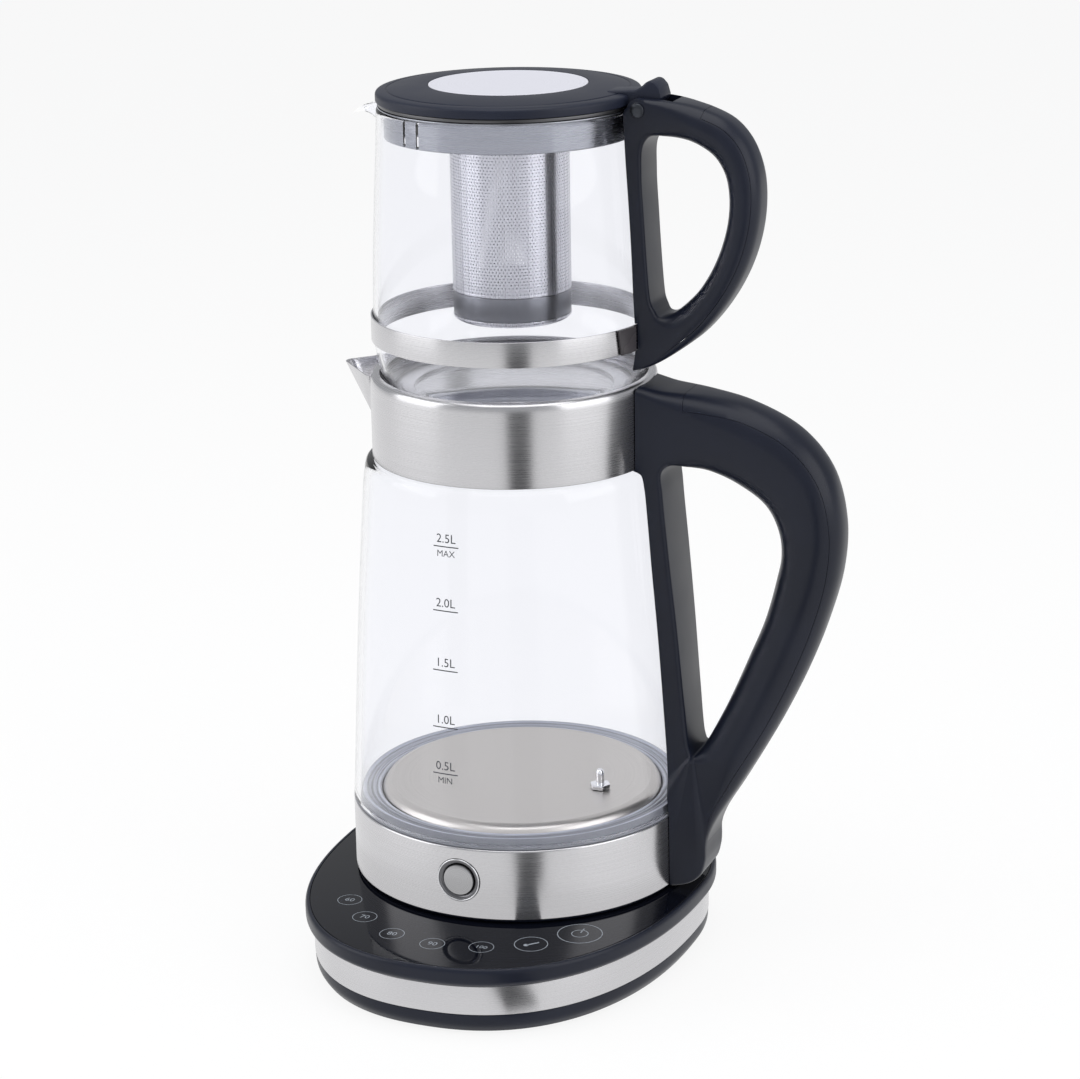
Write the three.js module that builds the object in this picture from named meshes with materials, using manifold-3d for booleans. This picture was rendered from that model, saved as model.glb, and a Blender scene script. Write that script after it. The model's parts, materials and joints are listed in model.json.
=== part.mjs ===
// Two-tier tea maker: a touch-control power base, a 2.5 litre glass kettle that lifts off it,
// and a glass teapot with a drop-in infuser and a hinged lid that stands on the kettle.
// Millimetres, +Z up. Handles point along +X, spouts along -X, the touch panel along -Y.
// The origin is on the table, under the axis that the kettle and the teapot share.
import * as THREE from 'three';
import { mergeVertices } from 'three/addons/utils/BufferGeometryUtils.js';
import Module from 'manifold-3d';

const wasm = await Module();
wasm.setup();

// Driving dimensions

const gap = 0.3; // clearance between pieces that touch
const overrun = 2; // how far every cutting body runs past what it cuts
const facets = { large: 40, medium: 28, small: 16, tiny: 10, outline: 14 };

const base = {
  halfWidth: 101.2, frontReach: 142.5, backReach: 98, frontFullness: 2.3, backFullness: 2,
  footHeight: 1.5, footRadius: 9, footSink: 0.9, hubRadius: 16,
  coverHeight: 10, coverTuck: 3, coverTuckHeight: 4.6, floor: 2.2, wall: 2.2,
  bandHeight: 15, bandSheet: 0.7, bandInset: 4,
  deckHeight: 10.2, deckUndercut: 3.6, deckEdge: 4.2, deckBevel: 2.8, deckBevelHeight: 2,
  panelInset: 4.6, panelSheet: 1.1, plate: 2.2,
  bossRadius: 4.6, screwRadius: 1.5, screwHeadRadius: 3, screwHead: 2, screwBite: 10,
  bossFront: { across: 0.705, along: 0.51 }, bossBack: { across: 0.57, along: 0.59 },
};

const coupler = {
  turretRadius: 15.7, turretRise: 11.5, flangeRadius: 20.5, flange: 3, seatHeight: 12,
  seatRadius: 10, pinHole: 3, grooveInner: 6, grooveOuter: 9, grooveDepth: 11, contact: 1.6,
  pinRadius: 2, pinShort: 1.2, ringInner: 6.7, ringOuter: 8.2,
  cupWall: 5, cupCrown: 5, chamfer: 1,
};

const touch = {
  keys: 7, keyPitchDegrees: 12.3, outShare: 0.808, padRadius: 5.5, padHeight: 3, bridge: 4,
  board: 1.6, boardInset: 10, boardRear: 74, postRadius: 3,
};

const power = {
  boardX: 84, boardY: 34, board: 1.6, boardRise: 4, boardCentreY: 48,
  relayX: 19, relayY: 15, relayHeight: 14, relayOffset: 24,
  buzzerRadius: 6, buzzerHeight: 7, buzzerOffset: 26,
};

const gland = { radius: 3.6, flangeRadius: 3.9, flange: 2, boreRadius: 2.9, boreDepth: 5, length: 9 };

const kettle = {
  ringRadius: 87.5, ringHeight: 37, ringBottom: 2.2, sheet: 0.8, lipReach: 12,
  coverWallHeight: 9, coverChamfer: 1, coverWall: 2.2,
  glassWall: 3.6, glassRadius: 87.2, glassTaper: 10.8, glassHeight: 174,
  shoulderHeight: 5.7, neckRadius: 69.4, neckHeight: 11,
  collarRadius: 72, collarHeight: 42.2, rimRoll: 5.2, rimReturn: 2.2, rimRadius: 67.2,
  seatInner: 50, seatFlat: 61, seatDrop: 2.7, seatBelowRim: 9.2,
  plateRadius: 67.5, plateCorner: 5.1, plateRise: 4.9, flangeReach: 6.9, plateSheet: 1,
  sealBase: 1.2, sealHook: 0.4, sealRise: 2.9, ridges: 2, ridgeDepth: 0.8,
};

const element = { ringRadius: 54, tubeRadius: 4, gapDegrees: 70, spreaderRadius: 60, spreader: 2 };
const control = { x: 34, y: 26 };
const probe = { radius: 45.4, azimuthDegrees: -6.7, pinRadius: 2.2, height: 10.4, nutRadius: 5.5, nut: 2.2, shank: 9 };

const spout = {
  halfWidth: 27, reach: 20, depth: 35, sheet: 0.8, soft: 3, belowRim: 2.5, footShare: 0.12,
  mouthHalfWidth: 15, mouthHeight: 9, mouthBelowRim: 14.5,
};

const button = {
  height: 19.7, bezelRadius: 11.2, capRadius: 8, capProud: 0.9, bezelProud: 0.4,
  capDepth: 8, dome: 0.6, travel: 1.5, switchDepth: 16, switchRadius: 9.8,
};

const grip = {
  halfWidth: 16.5, reach: 172.2, foot: 2.4, belowRim: 0.9, stations: 36,
  screwRadius: 1.8, screwHeadRadius: 3.6, screwHead: 2, screwBite: 5, screwTopBelowRim: 24, screwFootHeight: 12,
};

const teapot = {
  height: 141.4, wall: 2.6, floor: 4, bellyRadius: 69.5, mouthRadius: 64.7,
  beakReach: 18.5, beakHalfWidth: 15, beakRoot: 13, beakBelow: 1.5, beakDroop: 8.5,
  bandBottom: 26.4, bandHeight: 12.6, bandSheet: 0.8, lugStart: 12, lugDegrees: 11, lugSheet: 1.1,
};

const loop = {
  halfWidth: 12.5, reach: 130.2, aboveMouth: 7, foot: 14.7, stations: 30,
  slotHalfWidth: 8, slotReach: 16.2, slotDrop: 11.4,
};

// Seams between a handle and its outer cover: shares of the way round, and depths inside the outer edge.
const gripSeam = { from: 0.288, to: 0.775, startDepth: 7.5, endDepth: 4.5, runOut: 0.08, beyond: 12, steps: 9 };
const loopSeam = { from: 0.36, to: 0.83, startDepth: 3.8, endDepth: 3.6, runOut: 0.08, beyond: 9, steps: 9 };

const hinge = { beyondBelly: 1.5, aboveMouth: 2, pinRadius: 2, headRadius: 3.4, head: 1.2, earRadius: 5.4 };

const lid = {
  radius: 65, underRadius: 63.8, underSheet: 1.7, rimHeight: 4.9, rimEdge: 1.6, crown: 2.4, sheet: 2.2,
  insertRadius: 39, insertSheet: 1, armHalfWidth: 7.2, knuckleRadius: 4.6, armRoot: 12, armRise: 1.5,
  leverPeak: 13.6, leverPeakX: 4.5, leverBack: 10.5, leverBackRise: 5.5, leverToe: 6.5, leverToeDrop: 0.5,
};

const infuser = {
  ringRadius: 61.2, ringHeight: 14.1, sheet: 0.7, flangeRadius: 64.2, flange: 0.7,
  tubeRadius: 29.4, lipRadius: 33, tubeHeight: 76, capHeight: 15, capCorner: 2.5, capFloor: 0.8, spigot: 4,
  columns: 12, rows: 4, slotWidth: 1.6, slotShare: 0.72,
  slits: 3, slitStep: 9, slitStart: -140, slitWidth: 1.2, slitShare: 0.55,
};

// Heights that follow from the sizes above

const coverTop = base.footHeight + base.coverHeight;
const bandBottom = coverTop + gap;
const bandTop = bandBottom + base.bandHeight;
const deckBottom = bandTop + gap;
const deckTop = deckBottom + base.deckHeight;
const panelBottom = deckTop - base.panelSheet;
const plateTop = panelBottom - gap;
const plateBottom = plateTop - base.plate;
const floorTop = base.footHeight + base.floor;
const coverInset = base.bandInset + gap;
const wallInset = base.bandInset + base.bandSheet + gap;
const cavityInset = wallInset + base.wall;

const kettleSeat = deckTop + gap; // kettle's own zero
const ringTop = kettle.ringBottom + kettle.ringHeight;
const sealBottom = ringTop + gap;
const glassBottom = sealBottom + kettle.sealBase + gap;
const shoulderBottom = glassBottom + kettle.glassHeight;
const neckBottom = shoulderBottom + kettle.shoulderHeight;
const collarBottom = neckBottom + gap;
const rimTop = collarBottom + kettle.collarHeight;
const seatTop = rimTop - kettle.seatBelowRim;
const flangeBottom = sealBottom + kettle.sealHook + gap;
const plateTopHeight = flangeBottom + kettle.plateSheet + kettle.plateRise;
const seatBase = plateTopHeight - kettle.plateSheet; // underside of the plate's raised middle

const teapotSeat = seatTop + gap; // teapot's zero, in the kettle's frame
const mouth = teapot.height;
const hingeHeight = mouth + hinge.aboveMouth;
const flangeTop = mouth + gap + infuser.flange;
const underBottom = flangeTop + gap;
const lidBottom = underBottom + lid.underSheet + gap;
const hingeX = teapot.bellyRadius + hinge.beyondBelly;

// Solids and how they are made

const degrees = Math.PI / 180;
const half = (length) => length / 2;
const v2 = (x, y) => new THREE.Vector2(x, y);

// Welds a closed geometry and hands it to the boolean library, with its faces turned outwards.
function solidOf(geometry) {
  let bare = geometry.index ? geometry.toNonIndexed() : geometry.clone();
  for (const name of Object.keys(bare.attributes)) if (name !== 'position') bare.deleteAttribute(name);
  bare = mergeVertices(bare);
  const points = bare.attributes.position;
  const corners = bare.index.array;
  const faces = [];
  let volume = 0;
  const a = new THREE.Vector3(), b = new THREE.Vector3(), c = new THREE.Vector3();
  for (let i = 0; i < corners.length; i += 3) {
    const [p, q, r] = [corners[i], corners[i + 1], corners[i + 2]];
    if (p === q || q === r || r === p) continue;
    faces.push(p, q, r);
    a.fromBufferAttribute(points, p);
    b.fromBufferAttribute(points, q);
    c.fromBufferAttribute(points, r);
    volume += a.dot(b.cross(c));
  }
  if (volume < 0) for (let i = 0; i < faces.length; i += 3) [faces[i], faces[i + 1]] = [faces[i + 1], faces[i]];
  return new wasm.Manifold(new wasm.Mesh({
    numProp: 3,
    vertProperties: new Float32Array(points.array),
    triVerts: new Uint32Array(faces),
  }));
}

function geometryOf(solid) {
  const mesh = solid.getMesh();
  const geometry = new THREE.BufferGeometry();
  geometry.setAttribute('position', new THREE.BufferAttribute(new Float32Array(mesh.vertProperties), 3));
  geometry.setIndex(new THREE.BufferAttribute(new Uint32Array(mesh.triVerts), 1));
  geometry.computeVertexNormals();
  return geometry;
}

const joined = (solids) => solids.reduce((sum, next) => sum.add(next));

// A profile of [radius, height] pairs turned about the Z axis. A hollow ring's profile closes on itself.
function turned(profile, sides = facets.large) {
  const points = profile.map(([r, z]) => v2(r, z));
  if (profile[0][0] > 0) points.push(points[0].clone());
  return solidOf(new THREE.LatheGeometry(points, sides).rotateX(half(Math.PI)));
}

const disc = (radius, from, to, sides) => turned([[0, from], [radius, from], [radius, to], [0, to]], sides);
const tube = (inner, outer, from, to, sides) =>
  turned([[inner, from], [outer, from], [outer, to], [inner, to]], sides);

// A shape drawn in X and Y, raised from one height to another.
function raised(shape, from, to) {
  const geometry = new THREE.ExtrudeGeometry(shape, { depth: to - from, bevelEnabled: false,
    curveSegments: facets.outline });
  return solidOf(geometry.translate(0, 0, from));
}

// A shape drawn in X and Z, as thick as twice halfWidth and centred on Y zero.
function sideways(shape, halfWidth) {
  const geometry = new THREE.ExtrudeGeometry(shape, { depth: 2 * halfWidth, bevelEnabled: false,
    curveSegments: facets.outline });
  return solidOf(geometry.rotateX(half(Math.PI)).translate(0, halfWidth, 0));
}

const block = (x, y, from, to) => solidOf(new THREE.BoxGeometry(x, y, to - from).translate(0, 0, half(from + to)));

const polygon = (points) => new THREE.Shape(points.map(([x, y]) => v2(x, y)));

// Rings of points, bottom or start first, skinned and capped into one body.
function skinned(rings) {
  const positions = rings.flat().flatMap((p) => [p.x, p.y, p.z]);
  const n = rings[0].length;
  const faces = [];
  for (let k = 0; k + 1 < rings.length; k++) {
    for (let i = 0; i < n; i++) {
      const j = (i + 1) % n;
      const [a, b, c, d] = [k * n + i, k * n + j, (k + 1) * n + j, (k + 1) * n + i];
      faces.push(a, b, c, a, c, d);
    }
  }
  const last = (rings.length - 1) * n;
  const flatten = (ring) => {
    const far = ring[Math.floor(half(n))];
    const normal = ring[1].clone().sub(ring[0]).cross(far.clone().sub(ring[0]));
    const sizes = ['x', 'y', 'z'].map((axis) => Math.abs(normal[axis]));
    const thin = sizes.indexOf(Math.max(...sizes));
    const [u, w] = [['y', 'z'], ['x', 'z'], ['x', 'y']][thin];
    return ring.map((p) => v2(p[u], p[w]));
  };
  const cap = (ring, offset, sense) => {
    const plan = flatten(ring);
    const side = Math.sign(THREE.ShapeUtils.area(plan)) * sense;
    for (const [p, q, r] of THREE.ShapeUtils.triangulateShape(plan, [])) {
      const agrees = THREE.ShapeUtils.area([plan[p], plan[q], plan[r]]) * side > 0;
      faces.push(offset + p, offset + (agrees ? q : r), offset + (agrees ? r : q));
    }
  };
  cap(rings[0], 0, -1);
  cap(rings[rings.length - 1], last, 1);
  const geometry = new THREE.BufferGeometry();
  geometry.setAttribute('position', new THREE.Float32BufferAttribute(positions, 3));
  geometry.setIndex(faces);
  return solidOf(geometry);
}

// Outline of the power base: half an ellipse towards the user, a rounder one behind, drawn in by inset.
function baseOutline(inset) {
  const count = 2 * facets.large;
  const rounded = (value, fullness) => Math.sign(value) * Math.abs(value) ** (2 / fullness);
  return Array.from({ length: count }, (_, i) => {
    const angle = (2 * Math.PI * i) / count;
    const toFront = Math.sin(angle) < 0;
    const reach = (toFront ? base.frontReach : base.backReach) - inset;
    const fullness = toFront ? base.frontFullness : base.backFullness;
    return v2((base.halfWidth - inset) * rounded(Math.cos(angle), fullness),
      reach * rounded(Math.sin(angle), fullness));
  }).filter((_, i) => i % 2 === 0 || Math.abs(Math.sin((2 * Math.PI * i) / count)) < half(1));
}

// Distance from the middle to the base's outline in front, at a bearing.
function frontOutlineRadius(angle) {
  const share = Math.abs(Math.cos(angle) / base.halfWidth) ** base.frontFullness
    + Math.abs(Math.sin(angle) / base.frontReach) ** base.frontFullness;
  return share ** (-1 / base.frontFullness);
}

// A body with the base's outline, given as [height, inset] levels from the bottom up.
const baseBody = (levels) => skinned(levels.map(([z, inset]) =>
  baseOutline(inset).map((p) => new THREE.Vector3(p.x, p.y, z))));

const bossPlaces = [[base.bossFront, -base.frontReach], [base.bossBack, base.backReach]]
  .flatMap(([{ across, along }, reach]) => [1, -1].map((side) =>
    [side * across * base.halfWidth, along * reach]));
const corners = ['front_right', 'front_left', 'back_right', 'back_left'];
const footShare = 0.8; // feet stand this far out towards the bosses' neighbours
const atBosses = (make) => joined(bossPlaces.map(([x, y]) => make().translate([x, y, 0])));

// Power base

const bossTop = half(bandBottom + bandTop);

function bottomCover() {
  const shell = baseBody([
    [base.footHeight, coverInset + base.coverTuck],
    [base.footHeight + base.coverTuckHeight, coverInset],
    [coverTop, coverInset],
  ]).add(baseBody([[coverTop - base.wall, wallInset], [bandTop, wallInset]]));
  const hollow = baseBody([[floorTop, cavityInset], [bandTop + overrun, cavityInset]]);
  const posts = atBosses(() => disc(base.bossRadius, floorTop - base.floor / 2, bossTop, facets.tiny));
  const seat = disc(coupler.seatRadius, floorTop - base.floor / 2, coupler.seatHeight - gap, facets.small);
  const hub = disc(base.hubRadius, 0, floorTop, facets.medium);
  const boardPosts = joined([-1, 1].flatMap((side) => [-1, 1].map((end) =>
    disc(touch.postRadius, floorTop - base.floor / 2, floorTop + power.boardRise - gap, facets.tiny)
      .translate([side * (half(power.boardX) - touch.postRadius),
        -power.boardCentreY + end * (half(power.boardY) - touch.postRadius), 0]))));
  const frontPosts = joined([-1, 1].map((side) =>
    disc(touch.postRadius, floorTop - base.floor / 2, boardBottom - gap, facets.tiny)
      .translate([side * half(touch.boardRear), -(touch.boardRear + 2 * touch.postRadius), 0])));
  const screwHoles = atBosses(() => disc(base.screwRadius + gap, 0, bossTop + overrun, facets.tiny)
    .add(disc(base.screwHeadRadius + gap, 0, base.footHeight + base.screwHead + 2 * gap, facets.tiny)));
  const footPockets = joined(bossPlaces.map((place) =>
    footSolid(place, base.footRadius + gap, base.footHeight + base.footSink + gap)));
  const glandHole = glandBody(gland.radius + gap, gland.radius + gap, gland.length + overrun);
  return shell.subtract(hollow).add(hub).add(posts).add(seat).add(boardPosts).add(frontPosts)
    .subtract(screwHoles).subtract(footPockets).subtract(glandHole);
}

// A foot stands just inside each boss, towards the middle of the base.
function footSolid([x, y], radius, top) {
  return disc(radius, 0, top, facets.small).translate([footShare * x, footShare * y * footShare, 0]);
}

function glandBody(radius, flangeRadius, length) {
  const start = base.backReach - coverInset + gland.flange;
  return disc(radius, 0, length, facets.small)
    .add(disc(flangeRadius, 0, gland.flange - gap, facets.small))
    .rotate([90, 0, 0])
    .translate([0, start, base.footHeight + half(base.coverHeight)]);
}

function cordGland() {
  const start = base.backReach - coverInset + gland.flange;
  const bore = disc(gland.boreRadius, -overrun, gland.boreDepth, facets.small)
    .rotate([90, 0, 0])
    .translate([0, start, base.footHeight + half(base.coverHeight)]);
  return glandBody(gland.radius, gland.flangeRadius, gland.length).subtract(bore);
}

const baseFoot = (place) => footSolid(place, base.footRadius, base.footHeight + base.footSink);

const trimBand = () => baseBody([[bandBottom, base.bandInset], [bandTop, base.bandInset]])
  .subtract(baseBody([
    [bandBottom - overrun, base.bandInset + base.bandSheet],
    [bandTop + overrun, base.bandInset + base.bandSheet],
  ]));

function baseDeck() {
  const outside = baseBody([
    [deckBottom, base.deckUndercut],
    [deckBottom + base.deckEdge, 0],
    [deckTop - base.deckBevelHeight, 0],
    [deckTop, base.deckBevel],
  ]);
  const inside = baseBody([[deckBottom - overrun, cavityInset], [plateBottom, cavityInset]]);
  const panelPocket = baseBody([[plateTop, base.panelInset], [deckTop + overrun, base.panelInset]]);
  const turretHole = disc(coupler.turretRadius + gap, plateBottom - overrun, deckTop + overrun, facets.medium);
  const posts = atBosses(() => disc(base.bossRadius, bossTop + gap, plateBottom + half(base.plate), facets.tiny));
  const screwHoles = atBosses(() =>
    disc(base.screwRadius + gap, bossTop, bossTop + base.screwBite + gap, facets.tiny));
  return outside.subtract(inside).subtract(panelPocket).add(posts).subtract(turretHole).subtract(screwHoles);
}

const touchPanel = () => baseBody([
  [panelBottom, base.panelInset + gap], [deckTop, base.panelInset + gap],
]).subtract(disc(coupler.turretRadius + gap, plateTop, deckTop + overrun, facets.medium));

const padTop = plateBottom - gap;
const boardTop = padTop - touch.padHeight - gap;
const boardBottom = boardTop - touch.board;

// A strip of conductive foam under the panel, with one pad for each key.
function touchStrip() {
  const pads = Array.from({ length: touch.keys }, (_, i) => {
    const step = i - half(touch.keys - 1);
    const angle = (step * touch.keyPitchDegrees - 90) * degrees;
    const reach = touch.outShare * frontOutlineRadius(angle);
    return [reach * Math.cos(angle), reach * Math.sin(angle)];
  });
  const bridges = pads.slice(1).map(([x, y], i) => {
    const [fromX, fromY] = pads[i];
    const turn = Math.atan2(y - fromY, x - fromX) / degrees;
    return block(Math.hypot(x - fromX, y - fromY), touch.bridge, padTop - touch.padHeight,
      padTop - half(touch.padHeight)).rotate([0, 0, turn]).translate([half(x + fromX), half(y + fromY), 0]);
  });
  return joined([...bridges, ...pads.map(([x, y]) =>
    disc(touch.padRadius, padTop - touch.padHeight, padTop, facets.tiny).translate([x, y, 0]))]);
}

function controlBoard() {
  const whole = baseBody([[boardBottom, touch.boardInset], [boardTop, touch.boardInset]]);
  const front = block(2 * base.halfWidth, base.frontReach, boardBottom - overrun, boardTop + overrun)
    .translate([0, -(touch.boardRear + half(base.frontReach)), 0]);
  const clearance = atBosses(() => disc(base.bossRadius + gap, boardBottom - overrun, boardTop + overrun,
    facets.tiny));
  return whole.intersect(front).subtract(clearance);
}

const powerBoardTop = floorTop + power.boardRise + power.board;
const powerBoard = () => block(power.boardX, power.boardY, floorTop + power.boardRise, powerBoardTop)
  .translate([0, -power.boardCentreY, 0]);
const powerRelay = () => block(power.relayX, power.relayY, powerBoardTop + gap,
  powerBoardTop + gap + power.relayHeight).translate([-power.relayOffset, -power.boardCentreY, 0]);
const buzzer = () => disc(power.buzzerRadius, powerBoardTop + gap, powerBoardTop + gap + power.buzzerHeight,
  facets.small).translate([power.buzzerOffset, -power.boardCentreY, 0]);

const turretTop = deckTop + coupler.turretRise;
const grooveFloor = turretTop - coupler.grooveDepth;

const baseConnector = () => turned([
  [0, coupler.seatHeight],
  [coupler.turretRadius, coupler.seatHeight],
  [coupler.turretRadius, plateBottom - gap - coupler.flange],
  [coupler.flangeRadius, plateBottom - gap - coupler.flange],
  [coupler.flangeRadius, plateBottom - gap],
  [coupler.turretRadius, plateBottom - gap],
  [coupler.turretRadius, turretTop - coupler.chamfer],
  [coupler.turretRadius - coupler.chamfer, turretTop],
  [coupler.grooveOuter, turretTop],
  [coupler.grooveOuter, grooveFloor],
  [coupler.grooveInner, grooveFloor],
  [coupler.grooveInner, turretTop],
  [coupler.pinHole, turretTop],
  [coupler.pinHole, grooveFloor],
  [0, grooveFloor],
], facets.medium);

const contactTop = grooveFloor + gap + coupler.contact;
const baseCentreContact = () => disc(coupler.pinHole - gap, grooveFloor + gap, contactTop, facets.small);
const baseRingContact = () => tube(coupler.grooveInner + gap, coupler.grooveOuter - gap, grooveFloor + gap,
  contactTop, facets.medium);

function baseScrew([x, y]) {
  const start = base.footHeight + gap;
  return disc(base.screwHeadRadius, start, start + base.screwHead, facets.tiny)
    .add(disc(base.screwRadius, start, bossTop + base.screwBite, facets.tiny))
    .translate([x, y, 0]);
}

// Kettle, from the bottom up, in its own frame

const cupRadius = coupler.turretRadius + 4 * gap + coupler.cupWall;
const cupCavity = turretTop - kettleSeat + 3 * gap;
const cupTop = cupCavity + coupler.cupCrown;
const cupMouth = 2 * gap;
const pinTip = contactTop - kettleSeat + coupler.pinShort;

const kettleConnector = () => turned([
  [0, pinTip],
  [coupler.pinRadius, pinTip],
  [coupler.pinRadius, cupCavity],
  [coupler.ringInner, cupCavity],
  [coupler.ringInner, pinTip],
  [coupler.ringOuter, pinTip],
  [coupler.ringOuter, cupCavity],
  [coupler.turretRadius + 4 * gap, cupCavity],
  [coupler.turretRadius + 4 * gap, cupMouth],
  [cupRadius, cupMouth],
  [cupRadius, cupTop],
  [0, cupTop],
], facets.medium);

const ringInside = kettle.ringRadius - kettle.sheet;
const sleeveWall = kettle.coverWall;

function kettleBottomCover() {
  const outer = ringInside - gap;
  const sleeve = cupRadius + gap;
  return turned([
    [sleeve, 0],
    [outer - kettle.coverChamfer, 0],
    [outer, kettle.coverChamfer],
    [outer, kettle.coverWallHeight],
    [outer - kettle.coverWall, kettle.coverWallHeight],
    [outer - kettle.coverWall, kettle.coverWall],
    [sleeve + sleeveWall, kettle.coverWall],
    [sleeve + sleeveWall, cupTop],
    [sleeve, cupTop],
  ]);
}

// A round body whose axis runs from the kettle's middle out through the button.
const towardsButton = (solid) => solid.rotate([90, 0, 0]).translate([0, 0, kettle.ringBottom + button.height]);

function kettleBaseRing() {
  const wall = turned([
    [ringInside, kettle.ringBottom],
    [kettle.ringRadius, kettle.ringBottom],
    [kettle.ringRadius, ringTop - kettle.sheet],
    [kettle.ringRadius - kettle.sheet, ringTop],
    [kettle.ringRadius - kettle.lipReach, ringTop],
    [kettle.ringRadius - kettle.lipReach, ringTop - kettle.sheet],
    [ringInside, ringTop - kettle.sheet],
  ]);
  const hole = towardsButton(disc(button.bezelRadius + gap, half(kettle.ringRadius),
    kettle.ringRadius + overrun, facets.medium));
  const screwHole = radialRod(grip.screwRadius + gap, half(kettle.ringRadius), kettle.ringRadius + overrun,
    kettle.ringBottom + grip.screwFootHeight);
  return wall.subtract(hole).subtract(screwHole);
}

// A round rod along +X at a height, from one distance to another.
const radialRod = (radius, from, to, height) => disc(radius, from, to, facets.tiny)
  .rotate([0, 90, 0]).translate([0, 0, height]);

const plateFlange = flangeBottom + kettle.plateSheet;
const plateEdge = kettle.plateRadius + kettle.plateCorner;
const flangeRadius = plateEdge + kettle.flangeReach;
const cornerShares = [[0.55, 0.82], [0.88, 0.41]]; // of the plate's corner and of its rise

function heatingPlate() {
  const skin = (offset) => [
    [kettle.plateRadius, plateTopHeight - offset],
    ...cornerShares.map(([across, up]) => [
      kettle.plateRadius + kettle.plateCorner * across - offset * across,
      plateFlange + kettle.plateRise * up - offset]),
  ];
  const top = [[0, plateTopHeight], ...skin(0), [plateEdge, plateFlange]];
  const under = [[plateEdge - kettle.plateSheet, flangeBottom], ...skin(kettle.plateSheet).reverse(),
    [0, plateTopHeight - kettle.plateSheet]];
  const whole = turned([...top, [flangeRadius, plateFlange], [flangeRadius, flangeBottom], ...under]);
  return whole.subtract(atProbe(disc(probe.pinRadius + gap, 0, plateTopHeight + overrun, facets.tiny)));
}

function plateSeal() {
  const outer = kettle.glassRadius - gap;
  const inner = kettle.glassRadius - kettle.glassWall - gap;
  const lowRise = plateFlange + gap;
  const width = inner - plateEdge - gap;
  const ridge = Array.from({ length: 2 * kettle.ridges + 1 }, (_, i) => [
    inner - (width * i) / (2 * kettle.ridges),
    lowRise + kettle.sealRise - (i % 2) * kettle.ridgeDepth - (kettle.ridgeDepth * i) / (2 * kettle.ridges),
  ]);
  return turned([
    [flangeRadius - 2 * kettle.sealRise, sealBottom],
    [outer, sealBottom],
    [outer, sealBottom + kettle.sealBase],
    [inner, sealBottom + kettle.sealBase],
    ...ridge,
    [plateEdge + gap, lowRise],
    [flangeRadius + gap, lowRise],
    [flangeRadius + gap, sealBottom + kettle.sealHook],
    [flangeRadius - 2 * kettle.sealRise, sealBottom + kettle.sealHook],
  ]);
}

const spreaderTop = seatBase - gap;
const tubeCentre = spreaderTop - element.spreader - gap - element.tubeRadius;

function atProbe(solid) {
  const angle = probe.azimuthDegrees * degrees;
  return solid.translate([probe.radius * Math.cos(angle), probe.radius * Math.sin(angle), 0]);
}

const heatSpreader = () => disc(element.spreaderRadius, spreaderTop - element.spreader, spreaderTop, facets.medium)
  .subtract(atProbe(disc(probe.pinRadius + gap, 0, plateTopHeight, facets.tiny)));

// The element is a tube bent into a horseshoe, open towards the front.
function heatingElement() {
  const open = half(element.gapDegrees);
  const ring = new THREE.EllipseCurve(0, 0, element.ringRadius, element.ringRadius,
    (open - 90) * degrees, (270 - open) * degrees, false, 0);
  const rings = ring.getPoints(facets.small).map((p, i, all) => {
    const outward = v2(p.x, p.y).normalize();
    return Array.from({ length: facets.tiny }, (_, k) => {
      const turn = (2 * Math.PI * k) / facets.tiny;
      const reach = element.tubeRadius * Math.cos(turn);
      return new THREE.Vector3(p.x + outward.x * reach, p.y + outward.y * reach,
        tubeCentre + element.tubeRadius * Math.sin(turn));
    });
  });
  return skinned(rings);
}

const thermalControl = () => block(control.x, control.y, cupTop + gap, tubeCentre + element.tubeRadius);

function temperatureProbe() {
  const tip = plateTopHeight + probe.height;
  return atProbe(turned([
    [0, plateTopHeight - probe.shank],
    [probe.pinRadius, plateTopHeight - probe.shank],
    [probe.pinRadius, plateTopHeight + gap],
    [probe.nutRadius, plateTopHeight + gap],
    [probe.nutRadius, plateTopHeight + gap + probe.nut],
    [probe.pinRadius, plateTopHeight + gap + probe.nut],
    [probe.pinRadius, tip - half(probe.pinRadius)],
    [half(probe.pinRadius), tip],
    [0, tip],
  ], facets.tiny));
}

// Outer radius of the kettle's glass against height: it draws in slowly, then rounds over at the shoulder.
const taperShares = [[0, 0], [0.23, 0.19], [0.49, 0.42], [0.75, 0.69], [1, 1]];
const shoulderShares = [[0.5, 0.15], [0.84, 0.5], [1, 0.9]]; // of the shoulder's height and of its step in

function glassSide(offset) {
  const shoulderRadius = kettle.glassRadius - kettle.glassTaper;
  const step = shoulderRadius - kettle.neckRadius;
  return [
    ...taperShares.map(([up, inwards]) => [
      kettle.glassRadius - kettle.glassTaper * inwards - offset, glassBottom + kettle.glassHeight * up]),
    ...shoulderShares.map(([up, inwards]) => [
      shoulderRadius - step * inwards - offset, shoulderBottom + kettle.shoulderHeight * up - half(offset) * inwards]),
  ];
}

const kettleGlass = () => turned([
  ...glassSide(0),
  [kettle.neckRadius, neckBottom + gap],
  [kettle.neckRadius, neckBottom + kettle.neckHeight],
  [kettle.neckRadius - kettle.glassWall, neckBottom + kettle.neckHeight],
  ...glassSide(kettle.glassWall).reverse(),
]);

const collarInside = kettle.collarRadius - kettle.sheet;
const rollShares = [[0.16, 0.62], [0.5, 0.9]]; // of the rolled rim's reach inwards and of its rise

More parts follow.
